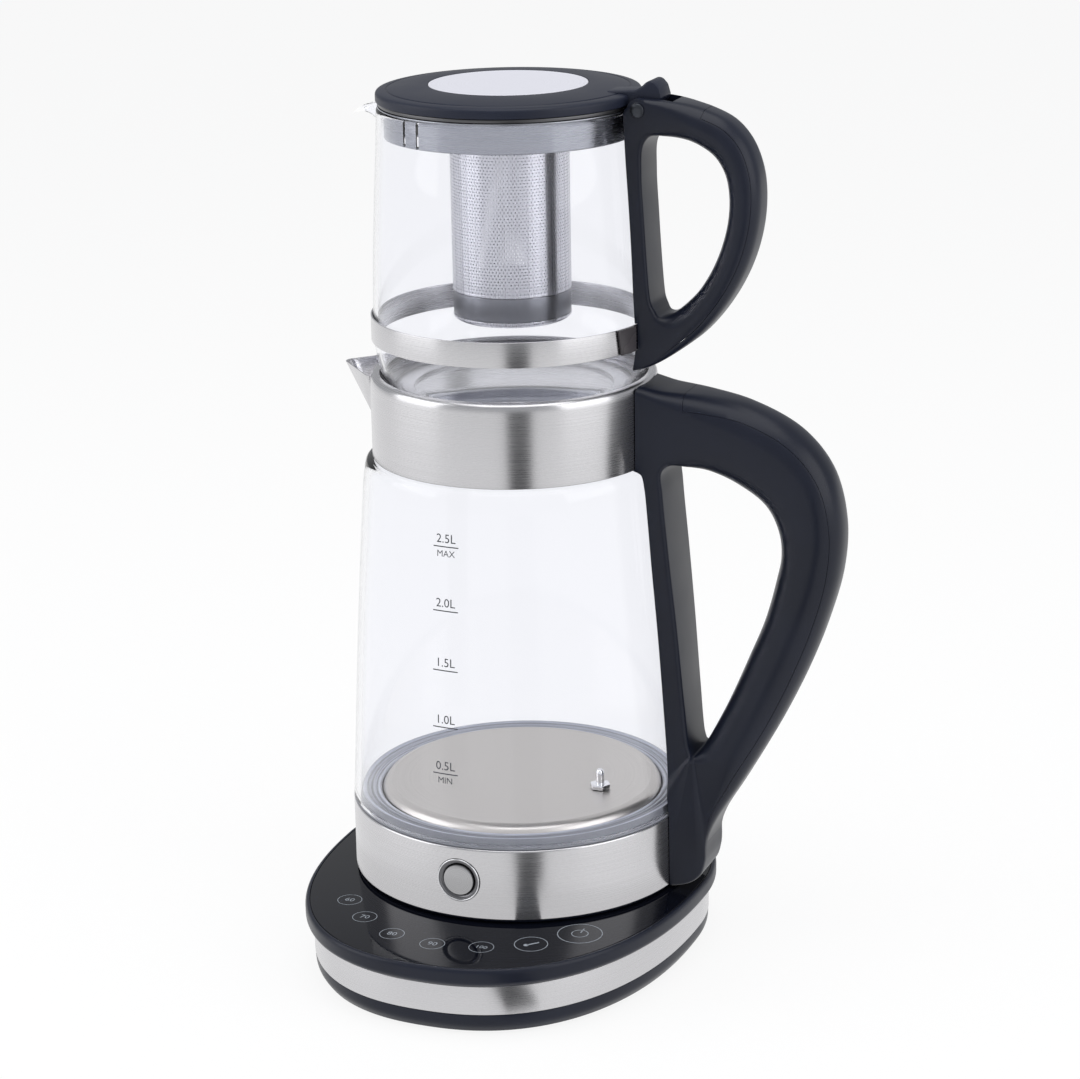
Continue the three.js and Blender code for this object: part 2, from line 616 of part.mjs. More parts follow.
function kettleCollar() {
  const reach = kettle.collarRadius - kettle.rimRadius;
  const rollBottom = rimTop - kettle.rimRoll;
  const roll = (sheet) => rollShares.map(([inwards, up]) => [
    kettle.collarRadius - reach * inwards - sheet * (1 - inwards), rollBottom + kettle.rimRoll * up - sheet * up]);
  const shell = turned([
    [collarInside, collarBottom],
    [kettle.collarRadius, collarBottom],
    [kettle.collarRadius, rollBottom],
    ...roll(0),
    [kettle.rimRadius + kettle.sheet, rimTop],
    [kettle.rimRadius, rimTop - half(kettle.sheet)],
    [kettle.rimRadius, rimTop - kettle.rimReturn],
    [kettle.rimRadius + kettle.sheet, rimTop - kettle.rimReturn],
    [kettle.rimRadius + kettle.sheet, rimTop - kettle.sheet - gap],
    ...roll(kettle.sheet).reverse(),
    [collarInside, rollBottom],
  ]);
  const screwHole = radialRod(grip.screwRadius + gap, half(kettle.collarRadius), kettle.collarRadius + overrun,
    rimTop - grip.screwTopBelowRim);
  return shell.subtract(spoutMouth()).subtract(screwHole);
}

// The hole through the collar behind the spout: wide at the top, with its lower corners drawn in.
function spoutMouth() {
  const top = rimTop - spout.mouthBelowRim;
  const low = top - spout.mouthHeight;
  const outline = polygon([[-half(spout.mouthHalfWidth), low], [half(spout.mouthHalfWidth), low],
    [spout.mouthHalfWidth, top], [-spout.mouthHalfWidth, top]]);
  return sideways(outline, half(kettle.collarRadius)).rotate([0, 0, 90]).translate([-kettle.collarRadius, 0, 0]);
}

// The spout is a V of sheet steel: a small foot low on the collar opens into a wide, pointed mouth.
function spoutRing(height, size, inset) {
  const root = half(kettle.collarRadius);
  const side = spout.halfWidth * size - inset;
  const tip = kettle.collarRadius + spout.reach * size - inset;
  const bend = kettle.collarRadius - spout.soft;
  const nose = spout.soft * size;
  return [[-root, -side], [-bend, -side], [-(tip - half(nose)), -nose], [-tip, 0], [-(tip - half(nose)), nose],
    [-bend, side], [-root, side]].map(([x, y]) => new THREE.Vector3(x, y, height));
}

function kettleSpout() {
  const top = rimTop - spout.belowRim;
  const low = top - spout.depth;
  const outside = skinned([spoutRing(low, spout.footShare, 0), spoutRing(top, 1, 0)]);
  const inside = skinned([
    spoutRing(low + 2 * spout.sheet, spout.footShare, spout.sheet),
    spoutRing(top + half(spout.sheet), 1, spout.sheet)]);
  const collar = disc(kettle.collarRadius + gap, low - overrun, top + overrun);
  return outside.subtract(inside).subtract(collar);
}

const collarSeal = () => tube(kettle.neckRadius + gap, collarInside - gap, collarBottom,
  collarBottom + kettle.neckHeight);

const seatBottom = seatTop - kettle.seatDrop;

// The ring inside the collar that carries the teapot; it dips towards the middle so that steam can pass.
const teapotSeatRing = () => turned([
  [kettle.seatInner, seatBottom],
  [collarInside - gap, seatBottom],
  [collarInside - gap, seatBottom + kettle.sheet],
  [kettle.seatFlat + kettle.seatDrop, seatBottom + kettle.sheet],
  [kettle.seatFlat, seatTop],
  [kettle.seatInner, seatTop],
]);

// Loop handles: a rounded bar carried round its finger hole, then cut away where it meets the pot. Each row
// holds the bar's inner edge and its outer edge as shares of the handle's reach and height, then its half
// width and the rounding of its inner and outer edges as shares of the grip's half width.

function loopPath(rows, root, spanX, bottom, spanZ, halfWidth) {
  const curve = (pick) => new THREE.CatmullRomCurve3(rows.map(pick), true);
  const inner = curve(([x, z]) => new THREE.Vector3(root + spanX * x, 0, bottom + spanZ * z));
  const outer = curve(([, , x, z]) => new THREE.Vector3(root + spanX * x, 0, bottom + spanZ * z));
  const size = curve((row) => new THREE.Vector3(...row.slice(4)).multiplyScalar(halfWidth));
  return (share) => {
    const [from, to, section] = [inner.getPoint(share), outer.getPoint(share), size.getPoint(share)];
    const across = to.clone().sub(from);
    const depth = across.length();
    const limit = depth * 0.48;
    return { from, to, across: across.normalize(), depth, halfWidth: section.x,
      near: Math.min(section.y, limit), far: Math.min(section.z, limit) };
  };
}

const arcShares = [[0, 1], [0.29, 0.29], [1, 0]]; // of the rounding: in from the edge face, in from the side

function barRing({ from, across, depth, halfWidth, near, far }) {
  const side = [
    ...arcShares.map(([inwards, sideways]) => [near * inwards, halfWidth - near * sideways]),
    ...arcShares.map(([inwards, sideways]) => [depth - far * inwards, halfWidth - far * sideways]).reverse(),
  ];
  const other = side.map(([reach, y]) => [reach, -y]).reverse();
  return [...side, ...other].map(([reach, y]) =>
    new THREE.Vector3(from.x + across.x * reach, y, from.z + across.z * reach));
}

function loopBar(path, count) {
  const rings = Array.from({ length: count }, (_, i) => barRing(path(i / count)));
  const n = rings[0].length;
  const faces = rings.flatMap((_, k) => rings[k].flatMap((_point, i) => {
    const [here, next, j] = [k * n, ((k + 1) % count) * n, (i + 1) % n];
    return [here + i, here + j, next + j, here + i, next + j, next + i];
  }));
  const geometry = new THREE.BufferGeometry();
  geometry.setAttribute('position',
    new THREE.Float32BufferAttribute(rings.flat().flatMap((p) => [p.x, p.y, p.z]), 3));
  geometry.setIndex(faces);
  return solidOf(geometry);
}

// The zone of a handle's outer cover: from the seam, which lies inside the outer edge, to far outside it.
function coverZone(path, seam, halfWidth, clearance) {
  const steps = 2 * seam.steps;
  const span = seam.to - seam.from;
  const trim = { 0: clearance, [steps]: -clearance };
  const line = (depthAt, outwards) => Array.from({ length: steps + 1 }, (_, i) => {
    const share = i / steps;
    const { to, across } = path(seam.from + span * share);
    const ahead = path(seam.from + span * share + 0.001).to.sub(to).normalize().multiplyScalar(trim[i] ?? 0);
    const reach = outwards - depthAt(share);
    return [to.x + across.x * reach + ahead.x, to.z + across.z * reach + ahead.z];
  });
  const depthAt = (share) => (seam.startDepth + (seam.endDepth - seam.startDepth) * Math.min(1, 2 * share))
    * Math.min(1, (1 - share) / seam.runOut) - clearance;
  return sideways(polygon([...line(depthAt, 0), ...line(() => 0, seam.beyond).reverse()]), halfWidth + overrun);
}

const gripRows = [
  [0.099, 0.29, -0.207, 0.251, 0.88, 0.12, 0.06], [0.07, 0.39, -0.207, 0.39, 0.92, 0.12, 0.06],
  [0.033, 0.532, -0.23, 0.532, 0.98, 0.12, 0.06], [-0.008, 0.667, -0.254, 0.667, 1.05, 0.12, 0.06],
  [-0.045, 0.794, -0.301, 0.798, 1.06, 0.12, 0.06], [-0.051, 0.838, -0.348, 0.928, 1.06, 0.12, 0.12],
  [-0.006, 0.852, -0.325, 1, 1.06, 0.18, 0.18], [0.089, 0.85, -0.045, 0.993, 1.05, 0.36, 0.36],
  [0.205, 0.842, 0.19, 0.988, 1.03, 0.61, 0.61], [0.372, 0.818, 0.442, 0.973, 1, 0.76, 0.76],
  [0.545, 0.78, 0.732, 0.927, 1, 0.76, 0.76], [0.619, 0.734, 0.919, 0.856, 1, 0.76, 0.76],
  [0.635, 0.684, 1, 0.759, 1, 0.76, 0.76], [0.606, 0.636, 0.988, 0.662, 1, 0.76, 0.76],
  [0.54, 0.557, 0.901, 0.555, 0.99, 0.76, 0.76], [0.447, 0.482, 0.792, 0.46, 0.97, 0.76, 0.76],
  [0.319, 0.384, 0.661, 0.368, 0.94, 0.73, 0.73], [0.213, 0.313, 0.534, 0.291, 0.91, 0.64, 0.64],
  [0.169, 0.286, 0.394, 0.212, 0.88, 0.48, 0.48], [0.143, 0.272, 0.255, 0.136, 0.85, 0.24, 0.3],
  [0.132, 0.269, 0.211, 0.097, 0.85, 0.18, 0.18], [0.128, 0.268, 0.202, 0.051, 0.88, 0.15, 0.15],
  [0.124, 0.267, 0.166, 0.02, 0.91, 0.15, 0.12], [0.122, 0.267, 0.065, 0.001, 0.94, 0.12, 0.06],
  [0.117, 0.268, -0.325, 0.001, 1.01, 0.12, 0.06], [0.111, 0.274, -0.277, 0.136, 0.89, 0.12, 0.06],
];
const gripSpanX = grip.reach - kettle.ringRadius;
const gripSpanZ = rimTop - grip.belowRim - grip.foot;
const gripPath = loopPath(gripRows, kettle.ringRadius, gripSpanX, grip.foot, gripSpanZ, grip.halfWidth);

// Everything the kettle's handle must stay clear of.
const kettleEnvelope = () => turned([
  [0, -overrun],
  [kettle.ringRadius + gap, -overrun],
  [kettle.ringRadius + gap, ringTop + gap],
  ...glassSide(-gap),
  [kettle.collarRadius + gap, collarBottom - gap],
  [kettle.collarRadius + gap, rimTop + overrun],
  [0, rimTop + overrun],
]);

const gripBody = () => loopBar(gripPath, grip.stations);

const gripScrewHeights = [kettle.ringBottom + grip.screwFootHeight, rimTop - grip.screwTopBelowRim];
const gripScrewRadii = [kettle.ringRadius, kettle.collarRadius];
const gripScrewEnd = (i) => gripScrewRadii[i] + gap + grip.screwBite;

function kettleHandle() {
  const zone = coverZone(gripPath, gripSeam, 2 * grip.halfWidth, -half(gap));
  const holes = joined(gripScrewHeights.map((height, i) =>
    radialRod(grip.screwRadius + gap, half(gripScrewRadii[i]), gripScrewEnd(i) + gap, height)));
  return gripBody().subtract(kettleEnvelope()).subtract(zone).subtract(holes);
}

const kettleHandleCover = () => gripBody()
  .intersect(coverZone(gripPath, gripSeam, 2 * grip.halfWidth, half(gap)));

function kettleHandleScrew(i) {
  const inside = gripScrewRadii[i] - kettle.sheet - 2 * gap;
  return radialRod(grip.screwHeadRadius, inside - grip.screwHead, inside, gripScrewHeights[i])
    .add(radialRod(grip.screwRadius, inside - half(grip.screwHead), gripScrewEnd(i), gripScrewHeights[i]));
}

// The push button on the front of the base ring

const switchFront = kettle.ringRadius + button.capProud - button.capDepth - button.travel - gap;

const buttonBezel = () => towardsButton(tube(button.capRadius + gap, button.bezelRadius,
  switchFront + gap, kettle.ringRadius + button.bezelProud, facets.medium));

function buttonCap() {
  const face = kettle.ringRadius + button.capProud;
  return towardsButton(turned([
    [0, face - button.capDepth],
    [button.capRadius, face - button.capDepth],
    [button.capRadius, face - button.dome],
    [half(button.capRadius), face - half(half(button.dome))],
    [0, face],
  ], facets.medium));
}

const buttonSwitch = () => towardsButton(disc(button.switchRadius, switchFront - button.switchDepth,
  switchFront, facets.small));

// Teapot, in its own frame

// Outer radius of the teapot's glass against height, as shares of the belly's radius and of the height.
const potShares = [[0.8, 0], [0.875, 0.011], [0.925, 0.032], [0.953, 0.065], [0.978, 0.115], [0.996, 0.175],
  [1, 0.23], [0.995, 0.33], [0.983, 0.5], [0.964, 0.69], [0.944, 0.86]];
const potInnerStart = 2; // the inner wall leaves out the heel's lowest points

const potSide = (offset, from) => potShares.slice(from).map(([out, up]) => [
  teapot.bellyRadius * out - offset, teapot.height * up]);

const beakStart = teapot.mouthRadius - 2 * teapot.wall;
const beakSlope = teapot.beakDroop / (teapot.mouthRadius + teapot.beakReach - beakStart);

function droop(point) {
  point[2] -= beakSlope * Math.max(0, -point[0] - beakStart);
}

// The pouring beak is pulled out of the rim and droops: two straight sides meeting in a rounded tip.
function beakRing(height, size, inset) {
  const side = teapot.beakHalfWidth * size - inset;
  const tip = teapot.mouthRadius + teapot.beakReach * size * size - inset;
  const root = half(teapot.mouthRadius);
  const nose = 3 * size;
  return [[-root, -side], [-beakStart, -side], [-(tip - nose), -nose], [-tip, 0],
    [-(tip - nose), nose], [-beakStart, side], [-root, side]]
    .map(([x, y]) => new THREE.Vector3(x, y, height));
}

const beakShares = [[0, 0.2], [0.35, 0.5], [0.7, 0.8], [1, 1]]; // of the beak's height, and its size there

function teapotGlass() {
  const inner = potSide(teapot.wall, potInnerStart).map(([r, z]) => [r, Math.max(z, teapot.floor)]);
  const outside = turned([[0, 0], ...potSide(0, 0), [teapot.mouthRadius, mouth], [0, mouth]]);
  const inside = turned([[0, teapot.floor], [inner[0][0] - teapot.wall, teapot.floor], ...inner.slice(1),
    [teapot.mouthRadius - teapot.wall, mouth + overrun], [0, mouth + overrun]]);
  const top = mouth - teapot.beakBelow;
  const beak = skinned(beakShares.map(([up, size]) => beakRing(top - teapot.beakRoot * (1 - up), size, 0)));
  const scoop = skinned([...beakShares, [2, 1.1]].map(([up, size]) =>
    beakRing(top + teapot.wall - teapot.beakRoot * (1 - up), size, teapot.wall * 0.8)));
  return outside.add(beak.warp(droop)).subtract(inside).subtract(scoop.warp(droop));
}

const bandRadius = teapot.bellyRadius + gap;
const teapotBand = () => tube(bandRadius, bandRadius + teapot.bandSheet,
  teapot.bandBottom, teapot.bandBottom + teapot.bandHeight);

// A wedge of the full turn between two bearings in degrees.
function wedge(from, to, radius, bottom, top) {
  const steps = 4;
  const rim = Array.from({ length: steps + 1 }, (_, i) => {
    const angle = (from + ((to - from) * i) / steps) * degrees;
    return [radius * Math.cos(angle), radius * Math.sin(angle)];
  });
  return raised(polygon([[0, 0], ...rim]), bottom, top);
}

function bandClamp() {
  const inner = bandRadius + teapot.bandSheet + gap;
  const ring = tube(inner, inner + teapot.lugSheet, teapot.bandBottom, teapot.bandBottom + teapot.bandHeight);
  const sector = wedge(-teapot.lugStart - teapot.lugDegrees, -teapot.lugStart, 2 * inner, 0, mouth);
  return ring.intersect(sector);
}

const loopRows = [
  [0.091, 0.289, -0.144, 0.274, 1.01, 0.11, 0.08], [0.07, 0.405, -0.178, 0.402, 1.01, 0.11, 0.08],
  [0.047, 0.574, -0.211, 0.574, 1.01, 0.11, 0.08], [0.03, 0.723, -0.228, 0.738, 1.02, 0.11, 0.08],
  [0.044, 0.835, -0.245, 0.873, 1.02, 0.13, 0.08], [0.101, 0.867, -0.017, 0.994, 1.02, 0.2, 0.08],
  [0.225, 0.868, 0.124, 1, 1.01, 0.32, 0.2], [0.359, 0.859, 0.351, 0.99, 1, 0.44, 0.4],
  [0.495, 0.837, 0.555, 0.967, 1, 0.56, 0.56], [0.621, 0.797, 0.748, 0.927, 1, 0.6, 0.6],
  [0.703, 0.736, 0.891, 0.858, 1, 0.6, 0.6], [0.735, 0.663, 0.982, 0.751, 1, 0.6, 0.6],
  [0.728, 0.574, 1, 0.631, 1, 0.6, 0.6], [0.678, 0.48, 0.96, 0.505, 1, 0.6, 0.6],
  [0.594, 0.39, 0.867, 0.383, 0.99, 0.6, 0.6], [0.483, 0.311, 0.711, 0.26, 0.98, 0.56, 0.56],
  [0.367, 0.258, 0.512, 0.153, 0.96, 0.48, 0.48], [0.265, 0.222, 0.314, 0.083, 0.94, 0.4, 0.32],
  [0.201, 0.21, 0.124, 0.031, 0.93, 0.24, 0.16], [0.156, 0.213, 0.003, 0.01, 0.93, 0.16, 0.12],
  [0.129, 0.233, -0.211, 0.001, 0.94, 0.13, 0.08], [0.104, 0.256, -0.178, 0.14, 0.98, 0.11, 0.08],
];
const loopRoot = bandRadius + teapot.bandSheet;
const loopSpanZ = mouth + loop.aboveMouth - loop.foot;
const loopBarPath = loopPath(loopRows, loopRoot, loop.reach - loopRoot, loop.foot, loopSpanZ, loop.halfWidth);

const teapotEnvelope = () => turned([
  [0, -overrun],
  ...potSide(-gap, 0),
  [teapot.mouthRadius + gap, mouth + gap],
  [0, mouth + gap],
]).add(disc(loopRoot + gap, teapot.bandBottom - gap, teapot.bandBottom + teapot.bandHeight + gap))
  .add(disc(lid.radius + gap, mouth, hingeHeight + 2 * lid.leverPeak));

const loopBody = () => loopBar(loopBarPath, loop.stations);

// A round body whose axis is the lid's hinge.
const alongHinge = (radius, halfWidth, sides) => disc(radius, -halfWidth, halfWidth, sides)
  .rotate([90, 0, 0]).translate([hingeX, 0, hingeHeight]);


function teapotHandle() {
  const slotBack = hingeX + loop.slotReach;
  const slotFloor = hingeHeight - loop.slotDrop;
  const slot = block(slotBack - half(hingeX), 2 * loop.slotHalfWidth, slotFloor, 2 * mouth)
    .translate([half(slotBack + half(hingeX)), 0, 0]);
  const ears = alongHinge(hinge.earRadius, loop.halfWidth, facets.medium);
  const zone = coverZone(loopBarPath, loopSeam, 2 * loop.halfWidth, -half(gap));
  return loopBody().add(ears).subtract(teapotEnvelope()).subtract(slot).subtract(zone)
    .subtract(alongHinge(hinge.pinRadius + gap, loop.halfWidth + overrun, facets.small));
}

const teapotHandleCover = () => loopBody()
  .intersect(coverZone(loopBarPath, loopSeam, 2 * loop.halfWidth, half(gap)));

const pinHeadStart = loop.halfWidth + 2 * gap;
const hingePin = () => joined([
  alongHinge(hinge.pinRadius, pinHeadStart + half(hinge.head), facets.small),
  ...[-1, 1].map((side) => alongHinge(hinge.headRadius, half(hinge.head), facets.small)
    .translate([0, side * (pinHeadStart + half(hinge.head)), 0])),
]);

// Lid

const lidRim = lidBottom + lid.rimHeight;
const lidCrown = lidRim + lid.crown;
const crownShares = [[0.3, 0.55], [0.62, 0.86]]; // of the way from rim to insert, and of the crown

function lidBody() {
  const edge = lid.radius - lid.rimEdge;
  const run = edge - lid.insertRadius;
  const top = [[edge, lidRim], ...crownShares.map(([inwards, up]) => [edge - run * inwards, lidRim + lid.crown * up])];
  const pocket = lid.insertRadius + gap;
  const shell = turned([
    [0, lidCrown - lid.insertSheet - gap - lid.sheet],
    [pocket, lidCrown - lid.insertSheet - gap - lid.sheet],
    ...top.slice(1).reverse().map(([r, z]) => [r, z - lid.sheet]),
    [lid.radius - lid.sheet, lidRim - lid.sheet],
    [lid.radius - lid.sheet, lidBottom],
    [lid.radius, lidBottom],
    [lid.radius, lidRim - lid.rimEdge],
    ...top,
    [pocket, lidCrown],
    [pocket, lidCrown - lid.insertSheet - gap],
    [0, lidCrown - lid.insertSheet - gap],
  ]);
  const arm = sideways(polygon([
    [lid.radius - lid.armRoot, lidRim - lid.sheet],
    [lid.radius - lid.sheet, lidBottom],
    [lid.radius, lidBottom],
    [hingeX, hingeHeight - hinge.pinRadius],
    [hingeX + lid.leverToe, hingeHeight - lid.leverToeDrop],
    [hingeX + lid.leverBack, hingeHeight + lid.leverBackRise],
    [hingeX + lid.leverPeakX, hingeHeight + lid.leverPeak],
    [hingeX - hinge.pinRadius, lidRim + lid.crown],
    [lid.radius - lid.armRoot, lidRim + lid.armRise],
  ]), lid.armHalfWidth);
  return shell.add(arm).add(alongHinge(lid.knuckleRadius, lid.armHalfWidth, facets.medium))
    .subtract(alongHinge(hinge.pinRadius + gap, loop.halfWidth, facets.small));
}

const lidInsert = () => disc(lid.insertRadius, lidCrown - lid.insertSheet, lidCrown);
const lidUnderPan = () => disc(lid.underRadius, underBottom, underBottom + lid.underSheet);

// Infuser: a cup on a flange that drops into the teapot's mouth, with rows of slots around its tube.

const shelfBottom = mouth - infuser.ringHeight;
const tubeTop = shelfBottom - gap;
const tubeBottom = tubeTop - infuser.tubeHeight;

function infuserRing() {
  const hole = infuser.tubeRadius - infuser.sheet;
  const ring = turned([
    [hole, shelfBottom],
    [infuser.ringRadius, shelfBottom],
    [infuser.ringRadius, mouth + gap],
    [infuser.flangeRadius, mouth + gap],
    [infuser.flangeRadius, flangeTop],
    [infuser.ringRadius - infuser.sheet, flangeTop],
    [infuser.ringRadius - infuser.sheet, shelfBottom + infuser.sheet],
    [hole, shelfBottom + infuser.sheet],
  ]);
  const tall = infuser.ringHeight * infuser.slitShare;
  const slits = joined(Array.from({ length: infuser.slits }, (_, i) =>
    block(infuser.ringRadius, infuser.slitWidth, mouth - tall, mouth - overrun)
      .translate([infuser.ringRadius, 0, 0]).rotate([0, 0, infuser.slitStart + i * infuser.slitStep])));
  return ring.subtract(slits);
}

function infuserTube() {
  const wall = turned([
    [infuser.tubeRadius - infuser.sheet, tubeBottom],
    [infuser.tubeRadius, tubeBottom],
    [infuser.tubeRadius, tubeTop - infuser.sheet],
    [infuser.lipRadius, tubeTop - infuser.sheet],
    [infuser.lipRadius, tubeTop],
    [infuser.tubeRadius - infuser.sheet, tubeTop],
  ], 2 * infuser.columns);
  const pitch = infuser.tubeHeight / infuser.rows;
  const tall = pitch * infuser.slotShare;
  const slots = joined(Array.from({ length: infuser.rows }, (_, row) => {
    const middle = tubeBottom + pitch * (row + half(1));
    return joined(Array.from({ length: infuser.columns }, (_unused, column) =>
      block(3 * infuser.tubeRadius, infuser.slotWidth, middle - half(tall), middle + half(tall))
        .rotate([0, 0, ((column + half(1)) * 180) / infuser.columns])));
  }));
  return wall.subtract(slots);
}

const infuserCap = () => turned([
  [0, tubeBottom - gap - infuser.capHeight],
  [infuser.tubeRadius - infuser.capCorner, tubeBottom - gap - infuser.capHeight],
  [infuser.tubeRadius, tubeBottom - gap - infuser.capHeight + infuser.capCorner],
  [infuser.tubeRadius, tubeBottom - gap],
  [infuser.tubeRadius - infuser.sheet - gap, tubeBottom - gap],
  [infuser.tubeRadius - infuser.sheet - gap, tubeBottom + infuser.spigot],
  [infuser.tubeRadius - 2 * infuser.sheet - gap, tubeBottom + infuser.spigot],
  [infuser.tubeRadius - 2 * infuser.sheet - gap, tubeBottom - gap - infuser.capHeight + infuser.capCorner],
  [infuser.tubeRadius - infuser.capCorner, tubeBottom - gap - infuser.capHeight + infuser.capFloor],
  [0, tubeBottom - gap - infuser.capHeight + infuser.capFloor],
]);

// Finishes and the finished object

const finish = (color, roughness, metalness) => ({ color, roughness, metalness });
const looks = {
  plastic: finish(0x2c2f36, 0.5, 0),
  panel: finish(0x14161a, 0.08, 0),
  steel: finish(0xc4c6c9, 0.3, 1),
  polished: finish(0xdcdee0, 0.12, 1),
  glass: finish(0xe8f0f2, 0.05, 0),
  rubber: finish(0x303236, 0.8, 0),
  seal: finish(0x9fb2bd, 0.35, 0),
  brass: finish(0xc9a860, 0.3, 1),
  board: finish(0x2f6b45, 0.6, 0),
  aluminium: finish(0xaeb2b6, 0.45, 1),
};

const lift = (height) => (solid) => solid.translate([0, 0, height]);
const onTable = lift(0);
const onBase = lift(kettleSeat);
const onKettle = lift(kettleSeat + teapotSeat);

const pieces = [
  ['base_bottom_cover', bottomCover, looks.plastic, onTable],
  ...corners.map((corner, i) => ['base_foot_' + corner, () => baseFoot(bossPlaces[i]), looks.rubber, onTable]),
  ['base_trim_band', trimBand, looks.steel, onTable],
  ['base_deck', baseDeck, looks.plastic, onTable],
  ['base_touch_panel', touchPanel, looks.panel, onTable],
  ['base_touch_strip', touchStrip, looks.rubber, onTable],
  ['base_control_board', controlBoard, looks.board, onTable],
  ['base_power_board', powerBoard, looks.board, onTable],
  ['base_power_relay', powerRelay, looks.plastic, onTable],
  ['base_buzzer', buzzer, looks.plastic, onTable],
  ['base_connector', baseConnector, looks.plastic, onTable],
  ['base_centre_contact', baseCentreContact, looks.brass, onTable],
  ['base_ring_contact', baseRingContact, looks.brass, onTable],
  ['base_cord_gland', cordGland, looks.rubber, onTable],
  ...corners.map((corner, i) => ['base_screw_' + corner, () => baseScrew(bossPlaces[i]), looks.steel, onTable]),
  ['kettle_connector', kettleConnector, looks.plastic, onBase],
  ['kettle_bottom_cover', kettleBottomCover, looks.plastic, onBase],
  ['kettle_base_ring', kettleBaseRing, looks.steel, onBase],
  ['kettle_heating_plate', heatingPlate, looks.polished, onBase],
  ['kettle_plate_seal', plateSeal, looks.seal, onBase],
  ['kettle_heat_spreader', heatSpreader, looks.aluminium, onBase],
  ['kettle_heating_element', heatingElement, looks.aluminium, onBase],
  ['kettle_thermal_control', thermalControl, looks.plastic, onBase],
  ['kettle_temperature_probe', temperatureProbe, looks.polished, onBase],
  ['kettle_glass', kettleGlass, looks.glass, onBase],
  ['kettle_collar_seal', collarSeal, looks.rubber, onBase],
  ['kettle_collar', kettleCollar, looks.steel, onBase],
  ['kettle_spout', kettleSpout, looks.steel, onBase],
  ['kettle_seat_ring', teapotSeatRing, looks.steel, onBase],
  ['kettle_handle', kettleHandle, looks.plastic, onBase],
  ['kettle_handle_cover', kettleHandleCover, looks.plastic, onBase],
  ['kettle_handle_screw_lower', () => kettleHandleScrew(0), looks.steel, onBase],
  ['kettle_handle_screw_upper', () => kettleHandleScrew(1), looks.steel, onBase],
  ['kettle_button_bezel', buttonBezel, looks.polished, onBase],
  ['kettle_button_cap', buttonCap, looks.steel, onBase],
  ['kettle_button_switch', buttonSwitch, looks.plastic, onBase],
  ['teapot_glass', teapotGlass, looks.glass, onKettle],
  ['teapot_band', teapotBand, looks.steel, onKettle],
  ['teapot_band_clamp', bandClamp, looks.plastic, onKettle],
  ['teapot_handle', teapotHandle, looks.plastic, onKettle],
  ['teapot_handle_cover', teapotHandleCover, looks.plastic, onKettle],
  ['teapot_hinge_pin', hingePin, looks.polished, onKettle],
  ['lid_body', lidBody, looks.plastic, onKettle],
  ['lid_insert', lidInsert, looks.steel, onKettle],
  ['lid_under_pan', lidUnderPan, looks.steel, onKettle],
  ['infuser_ring', infuserRing, looks.steel, onKettle],
  ['infuser_tube', infuserTube, looks.steel, onKettle],
  ['infuser_cap', infuserCap, looks.steel, onKettle],
];

const teaMaker = new THREE.Group();
for (const [name, make, look, place] of pieces) {
  const mesh = new THREE.Mesh(geometryOf(place(make())), new THREE.MeshStandardMaterial(look));
  mesh.name = name;
  teaMaker.add(mesh);
}

export default teaMaker;
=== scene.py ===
"""Looks of the two-tier tea maker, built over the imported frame. Metres, +Z up, touch panel towards -Y."""
import json
import math

import bmesh
import bpy
import numpy as np
from mathutils import Matrix, Vector


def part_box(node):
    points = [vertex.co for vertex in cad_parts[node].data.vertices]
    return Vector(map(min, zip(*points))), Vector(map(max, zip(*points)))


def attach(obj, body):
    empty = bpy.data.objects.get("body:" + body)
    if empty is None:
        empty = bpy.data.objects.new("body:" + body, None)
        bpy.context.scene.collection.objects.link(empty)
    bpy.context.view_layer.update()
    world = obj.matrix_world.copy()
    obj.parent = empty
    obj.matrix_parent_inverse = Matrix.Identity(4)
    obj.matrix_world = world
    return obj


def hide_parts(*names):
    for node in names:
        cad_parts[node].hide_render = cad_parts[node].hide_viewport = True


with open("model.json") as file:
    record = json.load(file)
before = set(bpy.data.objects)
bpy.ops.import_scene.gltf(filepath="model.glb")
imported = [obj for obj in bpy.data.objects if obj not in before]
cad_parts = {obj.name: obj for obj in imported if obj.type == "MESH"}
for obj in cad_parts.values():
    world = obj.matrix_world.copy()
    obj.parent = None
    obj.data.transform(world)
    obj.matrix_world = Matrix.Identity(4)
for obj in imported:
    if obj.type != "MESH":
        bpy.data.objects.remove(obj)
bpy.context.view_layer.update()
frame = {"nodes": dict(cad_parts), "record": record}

bl_info = {
    "name": "Two-Tier Tea Maker",
    "version": (1, 1, 0),
    "blender": (4, 5, 0),
    "location": "View3D > Sidebar > Tea Maker",
    "description": "Builds the visible surfaces of a power base, glass kettle and glass teapot",
    "category": "Add Mesh",
}

MM = 0.001  # the pieces below are written in millimetres
GAP = 0.3  # clearance between pieces that touch
SMOOTH = 40.0  # edges that turn by more degrees than this stay sharp
OVERRUN = 2.0  # how far a cutter stands out of what it cuts
EGG_STEPS = 288  # faces round the base and round the teapot's glass


# Settings


def length_setting(name, description, default, least, most):
    return bpy.props.FloatProperty(name=name, description=description, default=default, min=least, max=most,
                                   subtype="DISTANCE", unit="LENGTH")


def colour_setting(name, description, default):
    return bpy.props.FloatVectorProperty(name=name, description=description, default=default, size=3, min=0, max=1,
                                         subtype="COLOR")


